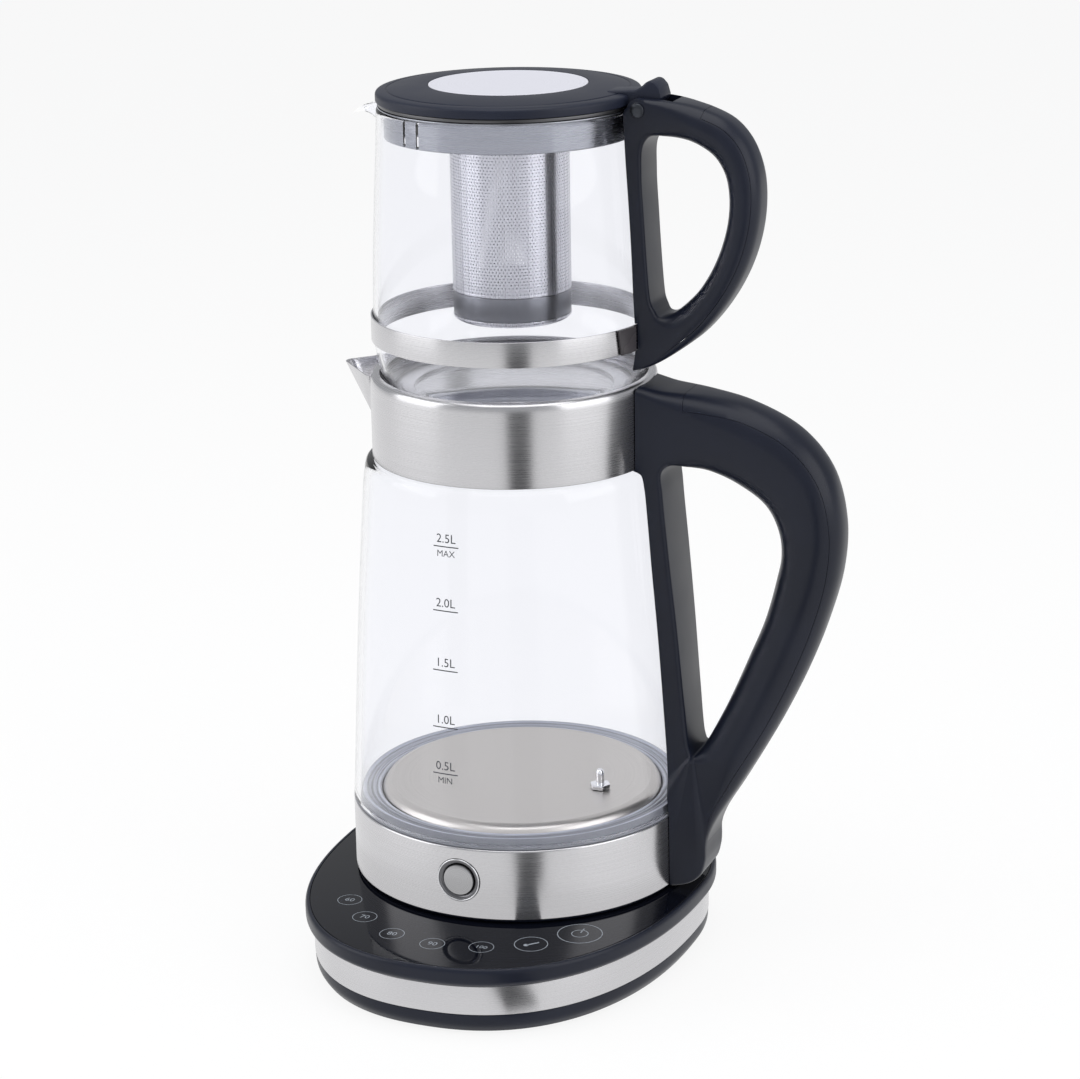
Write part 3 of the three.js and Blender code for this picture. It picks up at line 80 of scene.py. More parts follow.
class TeaMakerSizes(bpy.types.PropertyGroup):
    """Sizes that a user would change"""

    round_steps: bpy.props.IntProperty(
        name="Round steps", description="Faces round the kettle and the teapot", default=192, min=24, max=360)
    glass_wall: length_setting("Glass wall", "Wall thickness of the kettle's glass", 0.0030, 0.001, 0.006)
    mark_size: length_setting("Litre mark height", "Height of the numbers on the kettle", 0.0062, 0.002, 0.02)
    hole_pitch: length_setting("Infuser hole pitch", "Distance between the infuser's holes", 0.0018, 0.0012, 0.02)
    hole_share: bpy.props.FloatProperty(
        name="Infuser hole size", description="Width of a hole as a share of the pitch", default=0.40,
        min=0.1, max=0.9, subtype="FACTOR")


class TeaMakerColours(bpy.types.PropertyGroup):
    """Colours that a user would change"""

    plastic: colour_setting("Plastic", "Satin black plastic", (0.0092, 0.0116, 0.0220))
    steel: colour_setting("Steel", "Brushed steel", (0.60, 0.595, 0.61))
    glass: colour_setting("Glass", "Tint of the clear glass", (0.966, 0.970, 0.992))
    ink: colour_setting("Key ink", "Marks on the touch panel", (0.30, 0.33, 0.37))
    backdrop: colour_setting("Backdrop", "Floor and backdrop", (1.0, 1.0, 1.0))


def sizes():
    return bpy.context.scene.tea_maker_sizes


def colours():
    return bpy.context.scene.tea_maker_colours


# Materials


def new_material(name):
    """An empty node material and its node tree."""
    material = bpy.data.materials.new(name)
    material.use_nodes = True
    return material, material.node_tree


def filled(tree, node, values):
    """Sets each input of a node to its value, or joins it to the socket given for it."""
    for key, value in values.items():
        if isinstance(value, bpy.types.NodeSocket):
            tree.links.new(value, node.inputs[key])
        else:
            node.inputs[key].default_value = value
    return node


def added(tree, kind, values=None, **settings):
    """A new shader node with its settings and its inputs filled in."""
    node = tree.nodes.new("ShaderNode" + kind)
    for key, value in settings.items():
        setattr(node, key, value)
    return filled(tree, node, values or {})


def dressed(material, values):
    """The material with the inputs of its Principled shader filled in."""
    filled(material.node_tree, material.node_tree.nodes["Principled BSDF"], values)
    return material


def mapped(tree, stretch, shift=(0, 0, 0)):
    """Object coordinates, stretched and shifted by a Mapping node."""
    where = added(tree, "TexCoord").outputs["Object"]
    return added(tree, "Mapping", {"Vector": where, "Scale": stretch, "Location": shift}).outputs["Vector"]


def object_noise(tree, scale, stretch=(1, 1, 1), detail=3.0):
    """Noise on stretched Object coordinates."""
    values = {"Vector": mapped(tree, stretch), "Scale": scale, "Detail": detail}
    return added(tree, "TexNoise", values).outputs["Fac"]


def ring_noise(tree, scale, centre, keep):
    """Noise on the distance from an axis through centre; keep is 0 along the axis and 1 across it."""
    place = mapped(tree, keep, tuple(-c * k for c, k in zip(centre, keep)))
    length = added(tree, "VectorMath", {0: place}, operation="LENGTH").outputs["Value"]
    values = {"W": length, "Scale": scale, "Detail": 4.0}
    return added(tree, "TexNoise", values, noise_dimensions="1D").outputs["Fac"]


def ramp(tree, source, low, high, start=0.35, end=0.65):
    """Colour ramp between two grey or colour values."""
    node = added(tree, "ValToRGB", {"Fac": source})
    for stop, value, position in zip(node.color_ramp.elements, (low, high), (start, end)):
        stop.position = position
        stop.color = (*(value if isinstance(value, tuple) else (value,) * 3), 1.0)
    return node.outputs["Color"]


def bump(tree, source, strength, distance):
    return added(tree, "Bump", {"Height": source, "Strength": strength, "Distance": distance}).outputs["Normal"]


def shade(colour, factor):
    return tuple(min(1.0, c * factor) for c in colour)


def varied(tree, noise, colour, shades, gloss):
    """Base colour between two shades and roughness between two values, both after one noise."""
    return {"Base Color": ramp(tree, noise, *(shade(colour, factor) for factor in shades)),
            "Roughness": ramp(tree, noise, *gloss)}


def moulded_plastic(name, colour, roughness=0.34, grain=1400.0, depth=0.10):
    """Moulded plastic: fine grain in the bump, slight change of gloss over the surface."""
    material, tree = new_material(name)
    return dressed(material, {
        **varied(tree, object_noise(tree, 22.0), colour, (0.88, 1.14), (roughness - 0.03, roughness + 0.04)),
        "Normal": bump(tree, object_noise(tree, grain), depth, 0.0001), "Specular IOR Level": 0.26})


def finished_metal(name, colour, roughness, lines, depth, contrast, metallic=1.0, stretched=0.0):
    """Metal whose fine lines come from a noise that the caller picks for the way it was brushed. Lines round
    the Z axis draw reflections out in height, by the share stretched."""
    material, tree = new_material(name)
    noise = lines(tree)
    values = {
        **varied(tree, noise, colour, (1 - contrast, 1 + contrast), (roughness - 0.02, roughness + 0.03)),
        "Normal": bump(tree, noise, depth, 0.00005), "Metallic": metallic}
    if stretched:
        around = added(tree, "Tangent", direction_type="RADIAL", axis="Z").outputs["Tangent"]
        values.update({"Tangent": around, "Anisotropic": stretched, "Anisotropic Rotation": 0.25})
    return dressed(material, values)


def brushed_metal(name, colour, roughness, stretch, depth, contrast=0.12, stretched=0.0):
    """Metal brushed along the directions with the small stretch."""
    return finished_metal(name, colour, roughness, lambda tree: object_noise(tree, 1.0, stretch, 5.0), depth,
                          contrast, stretched=stretched)


def turned_metal(name, colour, roughness, centre=(0, 0, 0), keep=(1, 1, 0), scale=1900.0, depth=0.1, metallic=1.0):
    """Metal with fine rings round an axis, as a lathe or a spinning pad leaves them."""
    return finished_metal(name, colour, roughness, lambda tree: ring_noise(tree, scale, centre, keep), depth, 0.04,
                          metallic)


def clear_glass(name, colour, ior):
    """Clear glass with slight waves from moulding."""
    material, tree = new_material(name)
    waves = object_noise(tree, 7.0, (1, 1, 0.4))
    return dressed(material, {
        "Base Color": ramp(tree, waves, shade(colour, 0.995), colour), "Normal": bump(tree, waves, 0.02, 0.0008),
        "Transmission Weight": 1.0, "Roughness": 0.0, "IOR": ior})


def glossy_panel(name, colour):
    """Black panel behind a smooth clear face, with the faintest unevenness in its gloss."""
    material, tree = new_material(name)
    return dressed(material, {**varied(tree, object_noise(tree, 6.0), colour, (0.85, 1.15), (0.035, 0.06)),
                              "Specular IOR Level": 0.24})


def printed(name, colour):
    """Printed ink with a slight unevenness."""
    material, tree = new_material(name)
    return dressed(material, {"Base Color": ramp(tree, object_noise(tree, 900.0), shade(colour, 0.9), colour),
                              "Roughness": 0.45})


def ringed_silicone(name, colour):
    """Clear grey silicone with fine lighter and darker rings round the Z axis."""
    material, tree = new_material(name)
    rings = ring_noise(tree, 520.0, (0, 0, 0), (1, 1, 0))
    return dressed(material, {
        "Base Color": ramp(tree, rings, shade(colour, 0.5), shade(colour, 1.3), 0.4, 0.58),
        "Roughness": ramp(tree, rings, 0.34, 0.22)})


MATERIALS = {}


def make_materials():
    plastic, steel, glass, ink = (tuple(getattr(colours(), key)) for key in ("plastic", "steel", "glass", "ink"))
    button = [(a + b) / 2 for a, b in zip(*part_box("kettle_button_cap"))]
    MATERIALS.update({
        "plastic": moulded_plastic("satin_black_plastic", plastic),
        # Painted sheen: the lid's plastic is the same plastic painted 1.3 times lighter, standing in for the reflection
        # that its top shows at grazing angles.
        "lid_plastic": moulded_plastic("lid_plastic_painted_sheen", shade(plastic, 1.3), 0.42),
        "panel": glossy_panel("glossy_black_panel", (0.0028, 0.0034, 0.0065)),
        "steel": brushed_metal("brushed_steel", steel, 0.27, (6, 6, 6000), 0.02, 0.03, 0.7),
        "ring_steel": brushed_metal("infuser_ring_steel", (0.36, 0.37, 0.41), 0.27, (6, 6, 6000), 0.02, 0.03, 0.5),
        "sleeve": brushed_metal("satin_sleeve_steel", (0.22, 0.225, 0.25), 0.3, (6, 6, 6000), 0.05, 0.05, 0.5),
        "mesh_steel": brushed_metal("infuser_steel", (0.62, 0.62, 0.67), 0.28, (1500, 1500, 4), 0.05, 0.06, 0.6),
        "polished": brushed_metal("polished_steel", (0.74, 0.745, 0.77), 0.09, (40, 40, 40), 0.03, 0.03),
        "turned": turned_metal("pale_turned_steel", (0.84, 0.84, 0.91), 0.34, depth=0.03, metallic=0.35),
        "pan": turned_metal("under_pan_steel", (0.12, 0.12, 0.125), 0.35, depth=0.04),
        # Painted reflection: the bezel's metal is painted dark, standing in for the dark surroundings that it mirrors.
        "bezel": turned_metal("bezel_metal_painted_dark_reflection", (0.16, 0.16, 0.17), 0.22, button, (1, 0, 1), 2600.0, 0.04),
        "blackened": turned_metal("blackened_pin_steel", (0.06, 0.065, 0.075), 0.35, button, (1, 0, 1), depth=0.03),
        "cap_steel": turned_metal("button_cap_steel", (0.42, 0.42, 0.43), 0.28, button, (1, 0, 1), 2600.0, 0.04),
        "plate": turned_metal("heating_plate_steel", (0.53, 0.51, 0.49), 0.33, scale=900.0, depth=0.02),
        "glass": clear_glass("clear_glass", glass, 1.25),
        "teapot_glass": clear_glass("thin_clear_glass", shade(glass, 1.004), 1.22),
        "clamp": moulded_plastic("dark_clamp_metal", (0.055, 0.05, 0.055), 0.3),
        "rubber": moulded_plastic("black_rubber", (0.014, 0.014, 0.016), 0.7, 500.0, 0.3),
        "seal": ringed_silicone("clear_grey_silicone", (0.50, 0.52, 0.59)),
        "brass": brushed_metal("brass_contact", (0.72, 0.53, 0.26), 0.22, (60, 60, 60), 0.05),
        "board": moulded_plastic("printed_board_green", (0.02, 0.12, 0.05), 0.45, 200.0),
        "aluminium": brushed_metal("cast_aluminium", (0.56, 0.57, 0.58), 0.42, (120, 120, 120), 0.3),
        "ink_dark": printed("grey_mark_ink", (0.035, 0.04, 0.05)),
        "ink_pale": printed("pale_key_ink", ink),
    })
    slots = {s["node"]: s["material_slot"] for s in frame["record"]["subparts"]}
    for node, obj in frame["nodes"].items():
        assign(obj, "seal" if node == "kettle_collar_seal" else slots[node])


def assign(obj, key):
    """The object's only material becomes the named one."""
    obj.data.materials.clear()
    obj.data.materials.append(MATERIALS[key])


def piece(obj, body, key, *nodes):
    """Gives a finished piece its material and its body, and hides the CAD nodes it stands for."""
    assign(obj, key)
    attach(obj, body)
    if nodes:
        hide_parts(*nodes)
    return obj


# Surfaces


def grid_quads(u, v, close_u, close_v):
    """Corner numbers of the quads between neighbours on a grid of u by v points."""
    index = np.arange(u * v).reshape(u, v)
    right, up = np.roll(index, -1, axis=0), np.roll(index, -1, axis=1)
    quads = np.stack([index, right, np.roll(right, -1, axis=1), up], axis=-1)
    return quads[:u if close_u else u - 1, :v if close_v else v - 1].reshape(-1, 4)


def new_object(name, data):
    """An object of the scene that shows the data."""
    obj = bpy.data.objects.new(name, data)
    bpy.context.scene.collection.objects.link(obj)
    return obj


def mesh_object(name, points, faces, smooth_angle=SMOOTH):
    mesh = bpy.data.meshes.new(name)
    corners = faces.tolist() if isinstance(faces, np.ndarray) else faces
    mesh.from_pydata((np.asarray(points).reshape(-1, 3) * MM).tolist(), [], corners)
    tidy_mesh(mesh, smooth_angle)
    return new_object(name, mesh)


def tidy_mesh(mesh, smooth_angle, turn_out=True):
    """Merges doubles, turns faces outwards and smooths all but the sharp edges."""
    bm = bmesh.new()
    bm.from_mesh(mesh)
    bmesh.ops.remove_doubles(bm, verts=bm.verts, dist=1e-6)
    bmesh.ops.dissolve_degenerate(bm, edges=bm.edges, dist=1e-7)
    bmesh.ops.delete(bm, geom=[edge for edge in bm.edges if not edge.link_faces], context="EDGES")
    if turn_out:
        bmesh.ops.recalc_face_normals(bm, faces=bm.faces)
    limit = math.radians(smooth_angle)
    for face in bm.faces:
        face.smooth = True
    for edge in bm.edges:
        edge.smooth = len(edge.link_faces) == 2 and edge.calc_face_angle(0.0) < limit
    bm.to_mesh(mesh)
    bm.free()


def surface(name, grid, close_v=True, smooth_angle=SMOOTH):
    """A mesh object from a grid of points (u, v, xyz) in mm. Neighbours in u and v are joined by quads.
    The grid closes on itself in u, and may in v. Poles are merged and faces turned outwards."""
    return mesh_object(name, grid, grid_quads(*grid.shape[:2], True, close_v), smooth_angle)


def walled(name, outer, inner, smooth_angle=SMOOTH):
    """A sheet with a thickness: two open grids of the same size, joined along their four borders."""
    u, v = outer.shape[:2]
    faces = grid_quads(u, v, False, False)
    count = u * v
    index = np.arange(count).reshape(u, v)
    border = np.concatenate([index[:-1, 0], index[-1, :-1], index[:0:-1, -1], index[0, :0:-1]])
    after = np.roll(border, -1)
    rim = np.stack([border, after, after + count, border + count], axis=-1)
    both = np.concatenate([outer.reshape(-1, 3), inner.reshape(-1, 3)])
    return mesh_object(name, both, np.concatenate([faces, faces[:, ::-1] + count, rim]), smooth_angle)


def softened(points, radius):
    """A closed polyline with each corner replaced by a quadratic curve that starts and ends up to radius
    from the corner. A point's third value, where it has one, is its own radius."""
    shares = np.linspace(0, 1, 5)
    out = []
    n = len(points)
    for i, point in enumerate(points):
        p, before, after = (np.array(points[k % n][:2], float) for k in (i, i - 1, i + 1))
        r = point[2] if len(point) > 2 else radius
        a, b = before - p, after - p
        la, lb = np.linalg.norm(a), np.linalg.norm(b)
        if r <= 0 or la == 0 or lb == 0:
            out.append(p)
            continue
        start = p + a / la * min(r, 0.45 * la)
        end = p + b / lb * min(r, 0.45 * lb)
        out += [(1 - t) ** 2 * start + 2 * t * (1 - t) * p + t ** 2 * end for t in shares]
    return np.array(out)


SQUARE = ((-1, -1), (1, -1), (1, 1), (-1, 1))  # signs of a square's corners, in order
AXES = {"z": ((1, 0, 0), (0, 1, 0), (0, 0, 1)), "y": ((1, 0, 0), (0, 0, 1), (0, -1, 0)),
        "x": ((0, 1, 0), (0, 0, 1), (1, 0, 0))}


def lathe(name, profile, radius=0.4, steps=None, smooth_angle=SMOOTH, centre=(0, 0, 0), axis="z"):
    """A closed profile of (r, h) in mm carried once round an axis through centre: for the Z axis
    x = r cos a, y = r sin a, z = h. Along "y" the height h runs towards the front, -Y."""
    count = steps or sizes().round_steps
    line = softened(profile, radius)
    turn = np.linspace(0, 2 * np.pi, count, endpoint=False)
    across, up, along = (np.array(v, float) for v in AXES[axis])
    r, h = line[:, 0], line[:, 1]
    grid = (np.outer(np.cos(turn), r)[..., None] * across + np.outer(np.sin(turn), r)[..., None] * up
            + np.broadcast_to(h, (count, len(h)))[..., None] * along + np.array(centre, float))
    return surface(name, grid, smooth_angle=smooth_angle)


def through(rows, share):
    """Closed centripetal Catmull-Rom curve through the rows, at each share of the way round; every row
    takes the same share."""
    rows = np.array(rows, float)
    n = len(rows)
    at = np.asarray(share) * n
    i = np.floor(at).astype(int)
    w = (at - i)[:, None]
    p = [rows[(i + k) % n] for k in (-1, 0, 1, 2)]
    step = [np.sqrt(np.linalg.norm(p[k + 1] - p[k], axis=1))[:, None] for k in range(3)]
    step[1] = np.where(step[1] < 1e-4, 1.0, step[1])
    step[0] = np.where(step[0] < 1e-4, step[1], step[0])
    step[2] = np.where(step[2] < 1e-4, step[1], step[2])
    s = ((p[1] - p[0]) / step[0] - (p[2] - p[0]) / (step[0] + step[1]) + (p[2] - p[1]) / step[1]) * step[1]
    e = ((p[2] - p[1]) / step[1] - (p[3] - p[1]) / (step[1] + step[2]) + (p[3] - p[2]) / step[2]) * step[1]
    return p[1] + w * (s + w * (3 * (p[2] - p[1]) - 2 * s - e + w * (2 * (p[1] - p[2]) + s + e)))


def open_curve(points, per_span):
    """Catmull-Rom curve through open points, uniform in its spans, passing through each point."""
    p = np.array(points, float)
    p = np.vstack([2 * p[0] - p[1], p, 2 * p[-1] - p[-2]])
    t = np.linspace(0, 1, per_span, endpoint=False)[:, None]
    out = []
    for k in range(1, len(p) - 2):
        a, b, c, d = p[k - 1:k + 3]
        out.append(0.5 * (2 * b + (c - a) * t + (2 * a - 5 * b + 4 * c - d) * t ** 2
                          + (3 * b - a - 3 * c + d) * t ** 3))
    return np.vstack([*out, p[-2]])


def slab(name, plan, half_width):
    """A plan of (x, z) in mm, as thick as twice half_width and centred on Y zero."""
    line = np.array(plan, float)
    n = len(line)
    points = np.concatenate([np.stack([line[:, 0], np.full(n, y), line[:, 1]], axis=-1)
                             for y in (-half_width, half_width)])
    index = np.arange(n)
    after = np.roll(index, -1)
    walls = np.stack([index, after, after + n, index + n], axis=-1).tolist()
    return mesh_object(name, points, [*walls, index.tolist(), (index[::-1] + n).tolist()])


def applied(obj):
    """Bakes the object's modifiers into its mesh."""
    graph = bpy.context.evaluated_depsgraph_get()
    mesh = bpy.data.meshes.new_from_object(obj.evaluated_get(graph), depsgraph=graph)
    obj.modifiers.clear()
    old = obj.data
    obj.data = mesh
    bpy.data.meshes.remove(old)
    tidy_mesh(mesh, SMOOTH, False)
    return obj


def combined(obj, other, operation):
    """The union, difference or intersection of two closed pieces; the second one is used up."""
    modifier = obj.modifiers.new("combine", "BOOLEAN")
    modifier.operation = operation
    modifier.solver = "EXACT"
    modifier.object = other
    applied(obj)
    mesh = other.data
    bpy.data.objects.remove(other)
    bpy.data.meshes.remove(mesh)
    return obj


def cut(obj, *cutters):
    for cutter in cutters:
        combined(obj, cutter, "DIFFERENCE")
    return obj


def bevelled(obj, width, segments=2, angle=30.0):
    modifier = obj.modifiers.new("rounding", "BEVEL")
    modifier.width = width * MM
    modifier.segments = segments
    modifier.limit_method = "ANGLE"
    modifier.angle_limit = math.radians(angle)
    return applied(obj)


def turned(obj, degrees):
    """The object's mesh turned about the Z axis."""
    obj.data.transform(Matrix.Rotation(math.radians(degrees), 4, "Z"))
    return obj


def directions(degrees):
    """Unit vectors in the XY plane along a bearing and across it."""
    a = math.radians(degrees)
    return np.array([math.cos(a), math.sin(a)]), np.array([-math.sin(a), math.cos(a)])


def sharp(line, out=0.0):
    """An (r, z) line moved out from the axis, as profile points whose corners stay sharp."""
    return [(float(r) + out, float(z), 0) for r, z in line]


def rod(radius, start, end, centre=(0, 0, 0), axis="z", steps=48):
    """A cutting or joining cylinder between two heights along an axis through centre."""
    return lathe("rod", [(0, start), (radius, start), (radius, end), (0, end)], 0, steps, centre=centre, axis=axis)


# Sizes read from the frame, in mm


def box_mm(node):
    return [[v / MM for v in corner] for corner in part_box(node)]


def low(node):
    return box_mm(node)[0][2]


def high(node):
    return box_mm(node)[1][2]


def span(node):
    return low(node), high(node)


def middle(node):
    return [(a + b) / 2 for a, b in zip(*box_mm(node))]


def back_and_front(node):
    """How far a node's back and its front stand out towards -Y."""
    (_, y0, _), (_, y1, _) = box_mm(node)
    return -y1, -y0


# Power base


FRONT_FULLNESS, BACK_FULLNESS = 2.3, 2.0
HUB = 16.0  # radius of the round hole in the panel and of the hub under it
ROUND = 100.0  # an inset of ROUND + r stands for a circle of radius r about the Z axis


def outline(inset, turn):
    """The base's outline drawn in by the inset: x = w sgn(c)|c|^(2/n), y = l sgn(s)|s|^(2/n), where c and s are
    the cosine and sine of the turn, and l and n differ between front and back."""
    (_, y0, _), (half_width, y1, _) = box_mm("base_deck")
    c, s = np.cos(turn), np.sin(turn)
    length = np.where(s < 0, -y0, y1)
    power = 2 / np.where(s < 0, FRONT_FULLNESS, BACK_FULLNESS)
    x = (half_width - inset) * np.sign(c) * np.abs(c) ** power
    y = (length - inset) * np.sign(s) * np.abs(s) ** power
    return x, y


def egg(name, profile, radius=0.4):
    """A closed profile of (inset, z) in mm carried round the base's outline, and round the Z axis where the
    inset is ROUND or more."""
    turn = np.linspace(0, 2 * np.pi, EGG_STEPS, endpoint=False)
    bearing = np.arctan2(*outline(0.0, turn)[::-1])
    rings = []
    for inset, z in softened(profile, radius):
        x, y = outline(inset, turn) if inset < ROUND else (inset - ROUND) * np.array([np.cos(bearing), np.sin(bearing)])
        rings.append(np.stack([x, y, np.full(len(turn), z)], axis=-1))
    return surface(name, np.stack(rings, axis=1))


SCREW_POCKET, SCREW_DEPTH = 3.3, 4.1  # radius and depth of the holes for the base's screws
CORNERS = ("front_right", "front_left", "back_right", "back_left")


class TEAMAKER_OT_base_cover(bpy.types.Operator):
    """Make the power base's bottom cover and its rubber feet"""

    bl_idname = "teamaker.base_cover"
    bl_label = "Base Cover"

    def execute(self, context):
        bottom, top, inside = 1.5, low("base_trim_band") - GAP, high("base_trim_band")
        floor, hub = bottom + 2.2, ROUND + HUB
        cover = egg("base_cover_shell", [
            (7.3, bottom, 1.2), (4.3, bottom + 4.6, 2.0), (4.3, top), (5.0, top, 0), (5.0, inside), (7.2, inside),
            (7.2, floor, 1.0), (hub, floor, 0), (ROUND, floor, 0), (ROUND, 0, 0), (hub, 0), (hub, bottom, 0)])
        cutters = []
        for corner in CORNERS:
            foot = "base_foot_" + corner
            x, y, _ = middle(foot)
            radius, height = box_mm(foot)[1][0] - x, high(foot)
            cutters.append(rod(radius + GAP, -OVERRUN, height + GAP, (x, y, 0)))
            piece(lathe(foot + "_pad", [(0, 0, 0), (radius - 0.8, 0, 0.6), (radius, 0.8), (radius, height),
                                        (0, height, 0)], 0.4, 64, centre=(x, y, 0)), "base", "rubber", foot)
            x, y, _ = middle("base_screw_" + corner)
            cutters.append(rod(SCREW_POCKET, -OVERRUN, SCREW_DEPTH, (x, y, 0)))
        gland = (0, 0, middle("base_cord_gland")[2])
        cutters.append(rod(3.9, -110, -60, gland, "y"))
        piece(cut(cover, *cutters), "base", "plastic", "base_bottom_cover")
        back, _ = back_and_front("base_cord_gland")
        piece(lathe("cord_gland_grommet", [
            (2.9, back, 0.5), (3.9, back, 0.5), (3.9, back + 1.7), (3.6, back + 1.7), (3.6, back + 9),
            (0, back + 9, 0), (0, back + 5, 0), (2.9, back + 5)], 0.2, 48, centre=gland, axis="y"),
            "base", "rubber", "base_cord_gland")
        return {"FINISHED"}


class TEAMAKER_OT_base_top(bpy.types.Operator):
    """Make the trim band, the deck, the touch panel and the connector turret"""

    bl_idname = "teamaker.base_top"
    bl_label = "Base Top"

    def execute(self, context):
        band_low, band_high = span("base_trim_band")
        low_edge, top = band_high + GAP, high("base_deck")
        plate, hub = low("base_touch_panel") - GAP, ROUND + HUB
        piece(egg("base_band", [(4.0, band_low), (4.0, band_high), (4.7, band_high), (4.7, band_low)], 0.25),
              "base", "steel", "base_trim_band")
        piece(egg("base_deck_rim", [
            (3.4, low_edge, 0.6), (0, low_edge + 2.6, 1.6), (0, top - 1.5, 1.2), (0.9, top, 0.7), (2.2, top, 0.2),
            (2.2, plate, 0.1), (hub, plate, 0.1), (hub, plate - 2.2, 0.1), (7.2, plate - 2.2, 0.5),
            (7.2, low_edge, 0.3)]), "base", "plastic", "base_deck")
        under = plate + GAP
        piece(egg("touch_panel_face", [(2.5, top, 0.35), (hub, top, 0.3), (hub, under, 0), (2.5, under, 0)]),
              "base", "panel", "base_touch_panel")
        foot, tip = span("base_connector")
        flange, floor, turret = plate - 2.5, tip - 11, HUB - GAP
        piece(lathe("connector_turret", [
            (0, foot, 0), (turret, foot), (turret, flange - 3), (20.5, flange - 3), (20.5, flange), (turret, flange),
            (turret, tip, 1.2), (9, tip, 0.6), (9, floor), (6, floor), (6, tip, 0.6), (3, tip, 0.6), (3, floor),
            (0, floor, 0)], 0.3, 96), "base", "plastic", "base_connector")
        return {"FINISHED"}


INK = 0.03  # thickness of the printed marks, in mm


def flat_ring(name, x, y, radius, width):
    """A thin printed ring on the touch panel."""
    z = high("base_touch_panel")
    line = [(radius - width, z), (radius, z), (radius, z + INK), (radius - width, z + INK)]
    return piece(lathe(name, line, 0, 64, centre=(x, y, 0)), "base", "ink_pale")


def flat_bar(name, x, y, length, width, degrees):
    """A thin printed bar on the touch panel, centred on (x, y) and turned in its plane."""
    z = high("base_touch_panel")
    along, across = directions(degrees)
    plan = [s * length / 2 * along + t * width / 2 * across + (x, y) for s, t in SQUARE]
    points = np.array([(*p, h) for h in (z, z + INK) for p in plan])
    faces = [(0, 1, 2, 3), (7, 6, 5, 4), (0, 4, 5, 1), (1, 5, 6, 2), (2, 6, 7, 3), (3, 7, 4, 0)]
    return piece(mesh_object(name, points, faces, 10.0), "base", "ink_pale")


def lettering(name, words, size):
    """A flat mesh of the words in mm, centred on the origin in the XY plane."""
    curve = bpy.data.curves.new(name, "FONT")
    curve.body = words
    curve.size = size
    curve.align_x, curve.align_y = "CENTER", "CENTER"
    curve.resolution_u = 3
    maker = new_object(name + "_curve", curve)
    graph = bpy.context.evaluated_depsgraph_get()
    mesh = bpy.data.meshes.new_from_object(maker.evaluated_get(graph), depsgraph=graph)
    bpy.data.objects.remove(maker)
    bpy.data.curves.remove(curve)
    points = np.zeros(3 * len(mesh.vertices))
    mesh.vertices.foreach_get("co", points)
    return new_object(name, mesh), points.reshape(-1, 3)


def put_points(obj, points):
    obj.data.vertices.foreach_set("co", (points * MM).ravel())
    obj.data.update()
    return obj


# Bearing in degrees and distance in mm of each key's middle, with the number it shows
TEMPERATURE_KEYS = ((-127.5, 103.2, "60"), (-115.5, 109.1, "70"), (-102.9, 115.5, "80"), (-91.1, 116.9, "90"),
                    (-78.9, 114.8, "100"))
TIMER_KEY = (-66.6, 110.5)
START_KEY = (-52.8, 103.0)


def key_place(bearing, distance):
    return distance * directions(bearing)[0]


class TEAMAKER_OT_keys(bpy.types.Operator):
    """Print the temperature, timer and start keys on the touch panel"""

    bl_idname = "teamaker.keys"
    bl_label = "Touch Keys"

    def execute(self, context):
        z = high("base_touch_panel") + INK
        for i, (bearing, distance, words) in enumerate(TEMPERATURE_KEYS):
            x, y = key_place(bearing, distance)
            flat_ring(f"key_ring_{i}", x, y, 6.3, 0.3)
            obj, points = lettering(f"key_number_{i}", words, 5.2 if len(words) < 3 else 4.2)
            piece(put_points(obj, points + (x, y, z)), "base", "ink_pale")
        x, y = key_place(*TIMER_KEY)
        flat_ring("timer_ring", x, y, 8.4, 0.38)
        flat_bar("timer_hand", x + 0.8, y + 0.8, 6.4, 1.0, 45)
        flat_ring("timer_hub", x - 1.9, y - 1.9, 1.3, 1.29)
        x, y = key_place(*START_KEY)
        flat_ring("start_ring", x, y, 11.3, 0.42)
        flat_ring("start_inner_ring", x, y, 4.3, 0.42)
        flat_bar("start_mark", x, y + 3.6, 5.0, 0.6, 90)
        return {"FINISHED"}


# Kettle


def kettle_side():
    """Outer line of the kettle's glass as (r, z) in mm: it draws in slowly, then rounds over at the shoulder."""
    z = low("kettle_glass")
    shares = ((0, 0), (0.23, 0.19), (0.49, 0.42), (0.75, 0.69), (0.93, 0.905), (0.98, 0.985))
    line = [(87.2 - 10.8 * inwards, z + 174 * up) for up, inwards in shares]
    line += [(75.4, z + 176.8), (73.4, z + 178.7), (71.0, z + 179.6), (69.6, z + 181), (69.4, z + 184)]
    return open_curve([*line, (69.4, high("kettle_glass"))], 6)


def line_at(line, z):
    """The radius of an (r, z) line at the height z."""
    order = np.argsort(line[:, 1])
    return np.interp(z, line[order, 1], line[order, 0])


class TEAMAKER_OT_kettle_glass(bpy.types.Operator):
    """Make the kettle's glass body"""

    bl_idname = "teamaker.kettle_glass"
    bl_label = "Kettle Glass"

    def execute(self, context):
        outer = kettle_side()
        inner = outer[::-1] - (sizes().glass_wall / MM, 0)
        piece(lathe("kettle_glass_body", sharp(np.vstack([outer, inner])), 0), "kettle", "glass", "kettle_glass")
        return {"FINISHED"}


# Height in mm and words of each mark up the glass
LITRE_MARKS = ((233.7, "2.5L"), (201.5, "2.0L"), (171.3, "1.5L"), (142.2, "1.0L"), (118.2, "0.5L"))
LIMIT_MARKS = ((233.7, "MAX"), (118.2, "MIN"))
MARK_BEARING = -94.4
MARK_LIFT = 0.04  # from the glass to the print


